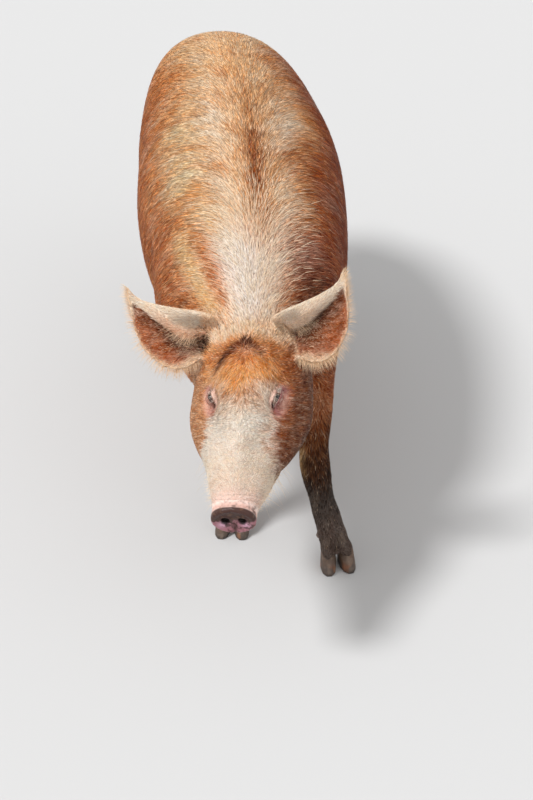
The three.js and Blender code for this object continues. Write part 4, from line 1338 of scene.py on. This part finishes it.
def lying_coat(skin, rng, density, count, length, width, lift, jitter, varied, pale_share):
    """Tufts that lie on the skin along its hair. Length, width and lift are given per vertex."""
    at, patches = scatter(skin, density, count, rng)
    place, normal = at(skin["places"]), unit(at(skin["normals"]))
    way = along(at(skin["lie"]), normal)
    fields = at(np.stack([length, width, lift, skin["parted"]], 1))
    swirl = SWIRL * jitter * (noise(place, 0.035, 61) - 0.5)
    scatter_by = jitter + PARTING_JITTER * fields[:, 3]
    turn = np.radians(rng.normal(0, 1, count) * scatter_by + swirl)[:, None]
    way = way * np.cos(turn) + np.cross(normal, way) * np.sin(turn)
    long = (fields[:, 0] * rng.uniform(0.7, 1.25, count))[:, None]
    mid = laid_on_skin(skin, place + way * 0.42 * long, fields[:, 2] * rng.uniform(0.2, 0.6, count))
    tip = laid_on_skin(skin, place + way * long, fields[:, 2] * rng.uniform(0.5, 1.5, count))
    paths = np.stack([place - normal * ROOT_DEPTH, mid, tip], 1)
    widths = (fields[:, 1] * rng.uniform(0.75, 1.3, count))[:, None]
    clumped = 1.6 * varied * (noise(place, CLUMP, 62) - 0.5) * 2
    colours = tuft_colours(at(skin["colours"]), 3, rng, varied, pale_share, clumped)
    return strands(paths, np.cross(way, normal), widths, 0.34, colours, patches), place[:, 1]


# ---------------------------------------------------------------- the coat

ROOT_DEPTH = 0.6 * MM
SWIRL = 2.4  # how far the lie wanders in broad whorls, against its scatter from tuft to tuft
PARTING_JITTER = 70  # degrees of scatter where the hair parts, which covers the bare line
# For each region: tufts, length, width and lift in mm, scatter of the lie in degrees, how much
# the tufts' brightness varies, and the share of pale ones.
COATS = {
    "torso": (120000, 42, 1.5, 2.4, 5.5, 0.22, 0.07),
    "head": (48000, 11, 1.0, 1.5, 13, 0.18, 0.07),
    "ear": (20000, 11, 0.95, 1.2, 14, 0.18, 0.08),
    "leg": (16000, 16, 1.3, 1.6, 9, 0.18, 0.05),
    "trotter": (14000, 9, 1.1, 0.9, 10, 0.15, 0.02),
    "tail": (3000, 16, 1.2, 2.0, 12, 0.18, 0.15),
}


def hairiness(skin, name):
    """Where a region's coat grows, and how its length, width and lift change over it."""
    places, share = skin["places"], skin["share"]
    _, y, z = places.T
    density = share[name] + (share["jaw"] + share["snout"] if name == "head" else 0)
    density = density * (1 + 1.5 * skin["parted"])
    long, wide, lift = np.ones(len(places)), np.ones(len(places)), np.ones(len(places))
    if name == "head":
        _, ahead, _ = to_head(places)
        nose = step(ahead, 110, 240)
        lids = socket(places, "left") + socket(places, "right")
        long = (1.3 - 0.75 * nose) * (1 - 0.5 * lids)
        wide = (1.12 - 0.37 * nose) * (1 - 0.35 * lids)
        density = density * (0.8 + 1.0 * nose) * fade(ahead, 290, 330) * (1 - 0.72 * lids)
    if name == "torso":
        crest = step(-y, 0.14, 0.32)
        long, wide, density = 1 - 0.58 * crest, 1 - 0.22 * crest, density * (1 + 0.8 * crest)
        lift = 1 + 0.5 * hump(round_back(places), 0, 16) * crest
    if name == "trotter":
        density = density * step(z, 37 * MM, 41 * MM)
        lift = 0.5 + 0.5 * step(z, 45 * MM, 80 * MM)
    return density, long, wide, lift


def grow_coats(skin, material, rng):
    for name, (tufts, length, width, lift, jitter, varied, pale_share) in COATS.items():
        density, long, wide, high = hairiness(skin, name)
        spikes, order = lying_coat(skin, rng, density, int(tufts * THIN_OUT), length * MM * long,
                                   width * MM * wide, lift * MM * high, jitter, varied, pale_share)
        add_coat(f"coat_{name}", spikes, order, material)


BRISTLE_STEPS = 5
BROW_HAIRS = {"left": 70, "right": 20}


def bristles(skin, rng, density, count, aim, length, width, droop, tint):
    """Free hairs that leave the skin: aim gives their way out, and droop bends them down."""
    at, patches = scatter(skin, density, count, rng)
    place, normal = at(skin["places"]), unit(at(skin["normals"]))
    way = unit(aim(place, normal, along(at(skin["lie"]), normal)) + rng.normal(0, 0.16, (count, 3)))
    long = (rng.uniform(*length, count) * MM)[:, None]
    steps = np.linspace(0, 1, BRISTLE_STEPS)
    paths = np.stack([place + way * long * t + DOWN * droop * long * t * t for t in steps], 1)
    paths[:, 0] -= normal * ROOT_DEPTH
    taper = np.interp(steps[1:-1], [0, 0.25, 1], [0.8, 1, 0.2])
    widths = width * MM * rng.uniform(0.75, 1.25, count)[:, None] * taper[None]
    base = at(skin["colours"])
    base = base + (tint - base) * rng.uniform(0.5, 1.0, count)[:, None]
    return strands(paths, np.cross(way, normal + 0.01), widths, 0.8,
                   tuft_colours(base, BRISTLE_STEPS, rng, 0.10, 0), patches), place[:, 1]


def leaving(upright, lying, towards=0):
    """The way of hairs that stand up and lie over by these shares, and point towards this."""
    return lambda place, normal, lie: upright * normal + lying * lie + towards


def add_bristles(skin, material, rng):
    """The ears' fringes, lashes, brow hairs, whiskers, the mane and the tuft of the tail."""
    places, share = skin["places"], skin["share"]
    _, y, z = places.T
    _, ahead, head_z = to_head(places)

    def grow(name, density, count, aim, length, width, droop, tint):
        spikes, order = bristles(skin, rng, density, int(count * THIN_OUT) + 1, aim, length, width,
                                 droop, tint)
        add_coat(f"coat_{name}", spikes, order, material)

    for side, ear in EARS.items():
        out, up, _ = to_ear(places, ear)
        across, rim = ear_place(out, up, ear)
        own = share["ear"] * step(share["ear"], 0.5, 0.9) * (out > 12) * (out < EAR_END)
        fringe = own * fade(rim, 2, 8) + own * 1.2 * step(out, 118, 134)
        from_root = np.array([ear["side"] * FRINGE_OUT, 0, FRINGE_UP]) * MM
        centre = ear["root"] + ear["axes"] @ from_root

        def from_centre(place, normal, lie):
            return unit(place - centre) + 0.25 * normal + 0.35 * lie

        grow(f"fringe_{side}", fringe, 1000, from_centre, (7, 24), 0.42, 0.35, CREAM)
        hollow = own * step(-(skin["normals"] @ ear["axes"][:, 1]), 0.2, 0.6)
        inner = hollow * hump(across, 0.45, 0.2) * hump(out, 35, 35)
        grow(f"inner_ear_{side}", inner, 260, leaving(1, 0.8), (10, 20), 0.6, 0.1, CREAM)

    for side in eye_centres:
        eye_out, forward, brow = eye_frame(side)
        u, v, high = to_eye(places, side)
        reach = np.sqrt(u**2 + v**2 + high**2)
        off_slit = v - slit_middle(u)
        upper = hump(off_slit, 5, 1.6) * fade(np.abs(u), 11, 16) * (reach < 22)
        up_and_out = leaving(0, 0, eye_out - 0.5 * brow)
        grow(f"lashes_{side}", upper, 18, up_and_out, (6, 13), 0.3, 0.35, WHITE)
        lower = hump(off_slit, -5, 1.6) * fade(np.abs(u), 9, 14) * (reach < 22)
        down = leaving(0, 0, eye_out - 0.8 * brow)
        grow(f"lower_lashes_{side}", lower, 10, down, (4, 8), 0.3, 0.1, WHITE)
        above = hump(u, -18, 12) * hump(v, 6, 13) * (reach < 45)
        along_eye = leaving(0, 0, 0.4 * eye_out + forward)
        grow(f"brow_{side}", above, BROW_HAIRS[side], along_eye, (14, 32), 0.42, 0.1, WHITE)

    head = share["head"] + share["jaw"]
    jaw = head * hump(ahead, 255, 45) * step(-head_z, 70, 95)
    grow("whiskers", jaw, 130, leaving(1, 0.5), (14, 48), 0.45, 0.45, PALE)
    lip = head * hump(ahead, 285, 30) * hump(head_z, -50, 20)
    grow("lip_bristles", lip, 160, leaving(1, 0.7), (8, 18), 0.45, 0.2, PALE)
    crest = share["torso"] * hump(round_back(places), 0, 20) * step(-y, 0.05, 0.2)
    grow("mane", crest, 1200, leaving(0.35, 1), (20, 34), 0.8, 0.1, PALE)
    tail = share["tail"] * fade(z, 0.36, 0.40)
    grow("tail_tuft", tail, 500, leaving(0.22, 1), (30, 58), 0.9, 0.4, srgb(190, 130, 86))


# ---------------------------------------------------------------- camera, light and floor

CAMERA_AT = (0.0481, -3.3032, 2.450)
CAMERA_DOWN = 35.3  # degrees
LENS = 90
FLOOR_SIZE = 24
BACKDROP, FLOOR_GREY = (0.84, 0.84, 0.84, 1), (0.56, 0.56, 0.56, 1)
SURROUND_STRENGTH = 0.70
# Each sun's strength, its width in degrees, and the way its light goes.
SUNS = {"key": (2.6, 12, (0.52, 0.22, -0.83)), "fill": (0.4, 60, (-0.5, 0.6, -0.5))}


def add_camera():
    data = bpy.data.cameras.new("camera")
    data.lens = LENS
    camera = bpy.data.objects.new("camera", data)
    camera.location = CAMERA_AT
    camera.rotation_euler = (radians(90 - CAMERA_DOWN), 0, 0)
    bpy.context.scene.collection.objects.link(camera)
    bpy.context.scene.camera = camera


def add_sun(name, strength, angle, direction):
    data = bpy.data.lights.new(name, "SUN")
    data.energy = strength
    data.angle = radians(angle)
    lamp = bpy.data.objects.new(name, data)
    lamp.rotation_euler = Vector(direction).to_track_quat("-Z", "Y").to_euler()
    bpy.context.scene.collection.objects.link(lamp)


def add_light():
    """A plain white surround, whose pale backdrop only the camera and reflections see."""
    world = bpy.data.worlds.new("studio")
    world.use_nodes = True
    nodes, links = world.node_tree.nodes, world.node_tree.links
    nodes["Background"].inputs["Color"].default_value = (1, 1, 1, 1)
    nodes["Background"].inputs["Strength"].default_value = SURROUND_STRENGTH
    backdrop = node(nodes, "ShaderNodeBackground", Color=BACKDROP)
    rays = node(nodes, "ShaderNodeLightPath")
    mix = node(nodes, "ShaderNodeMixShader")
    seen = rays.outputs["Is Camera Ray"]
    for kind in ("Is Glossy Ray", "Is Transmission Ray"):
        either = node(nodes, "ShaderNodeMath", operation="MAXIMUM")
        links.new(seen, either.inputs[0])
        links.new(rays.outputs[kind], either.inputs[1])
        seen = either.outputs[0]
    links.new(seen, mix.inputs["Fac"])
    links.new(nodes["Background"].outputs[0], mix.inputs[1])
    links.new(backdrop.outputs[0], mix.inputs[2])
    links.new(mix.outputs[0], nodes["World Output"].inputs["Surface"])
    bpy.context.scene.world = world
    for name, (strength, angle, direction) in SUNS.items():
        add_sun(name, strength, angle, direction)


def add_floor():
    mesh = bpy.data.meshes.new("floor")
    half = FLOOR_SIZE / 2
    mesh.from_pydata([(-half, -half, 0), (half, -half, 0), (half, half, 0), (-half, half, 0)],
                     [], [(0, 1, 2, 3)])
    floor = shown(mesh, "floor")
    material = bpy.data.materials.new("floor")
    material.use_nodes = True
    shader = material.node_tree.nodes["Principled BSDF"]
    shader.inputs["Base Color"].default_value = FLOOR_GREY
    shader.inputs["Roughness"].default_value = 0.9
    mesh.materials.append(material)


# ---------------------------------------------------------------- the scene is put together

tree, face_regions = flesh_tree()
flesh = joined_flesh()
flesh_regions = softened(flesh, tree, face_regions)
spine = fit_spine(vertices_of(flesh))
skin = make_skin(skin_material())
paint_skin(skin)
eye_look, horn_look, coat_look = eye_material(), horn_material(), coat_material()
for side in eye_centres:
    add_eyeball(side, eye_look)
for claw in CLAWS:
    add_horn(claw, horn_look)
grow_coats(skin, coat_look, np.random.default_rng(2024))
add_bristles(skin, coat_look, np.random.default_rng(2025))

add_camera()
add_light()
add_floor()
bpy.context.scene.view_settings.view_transform = "Standard"
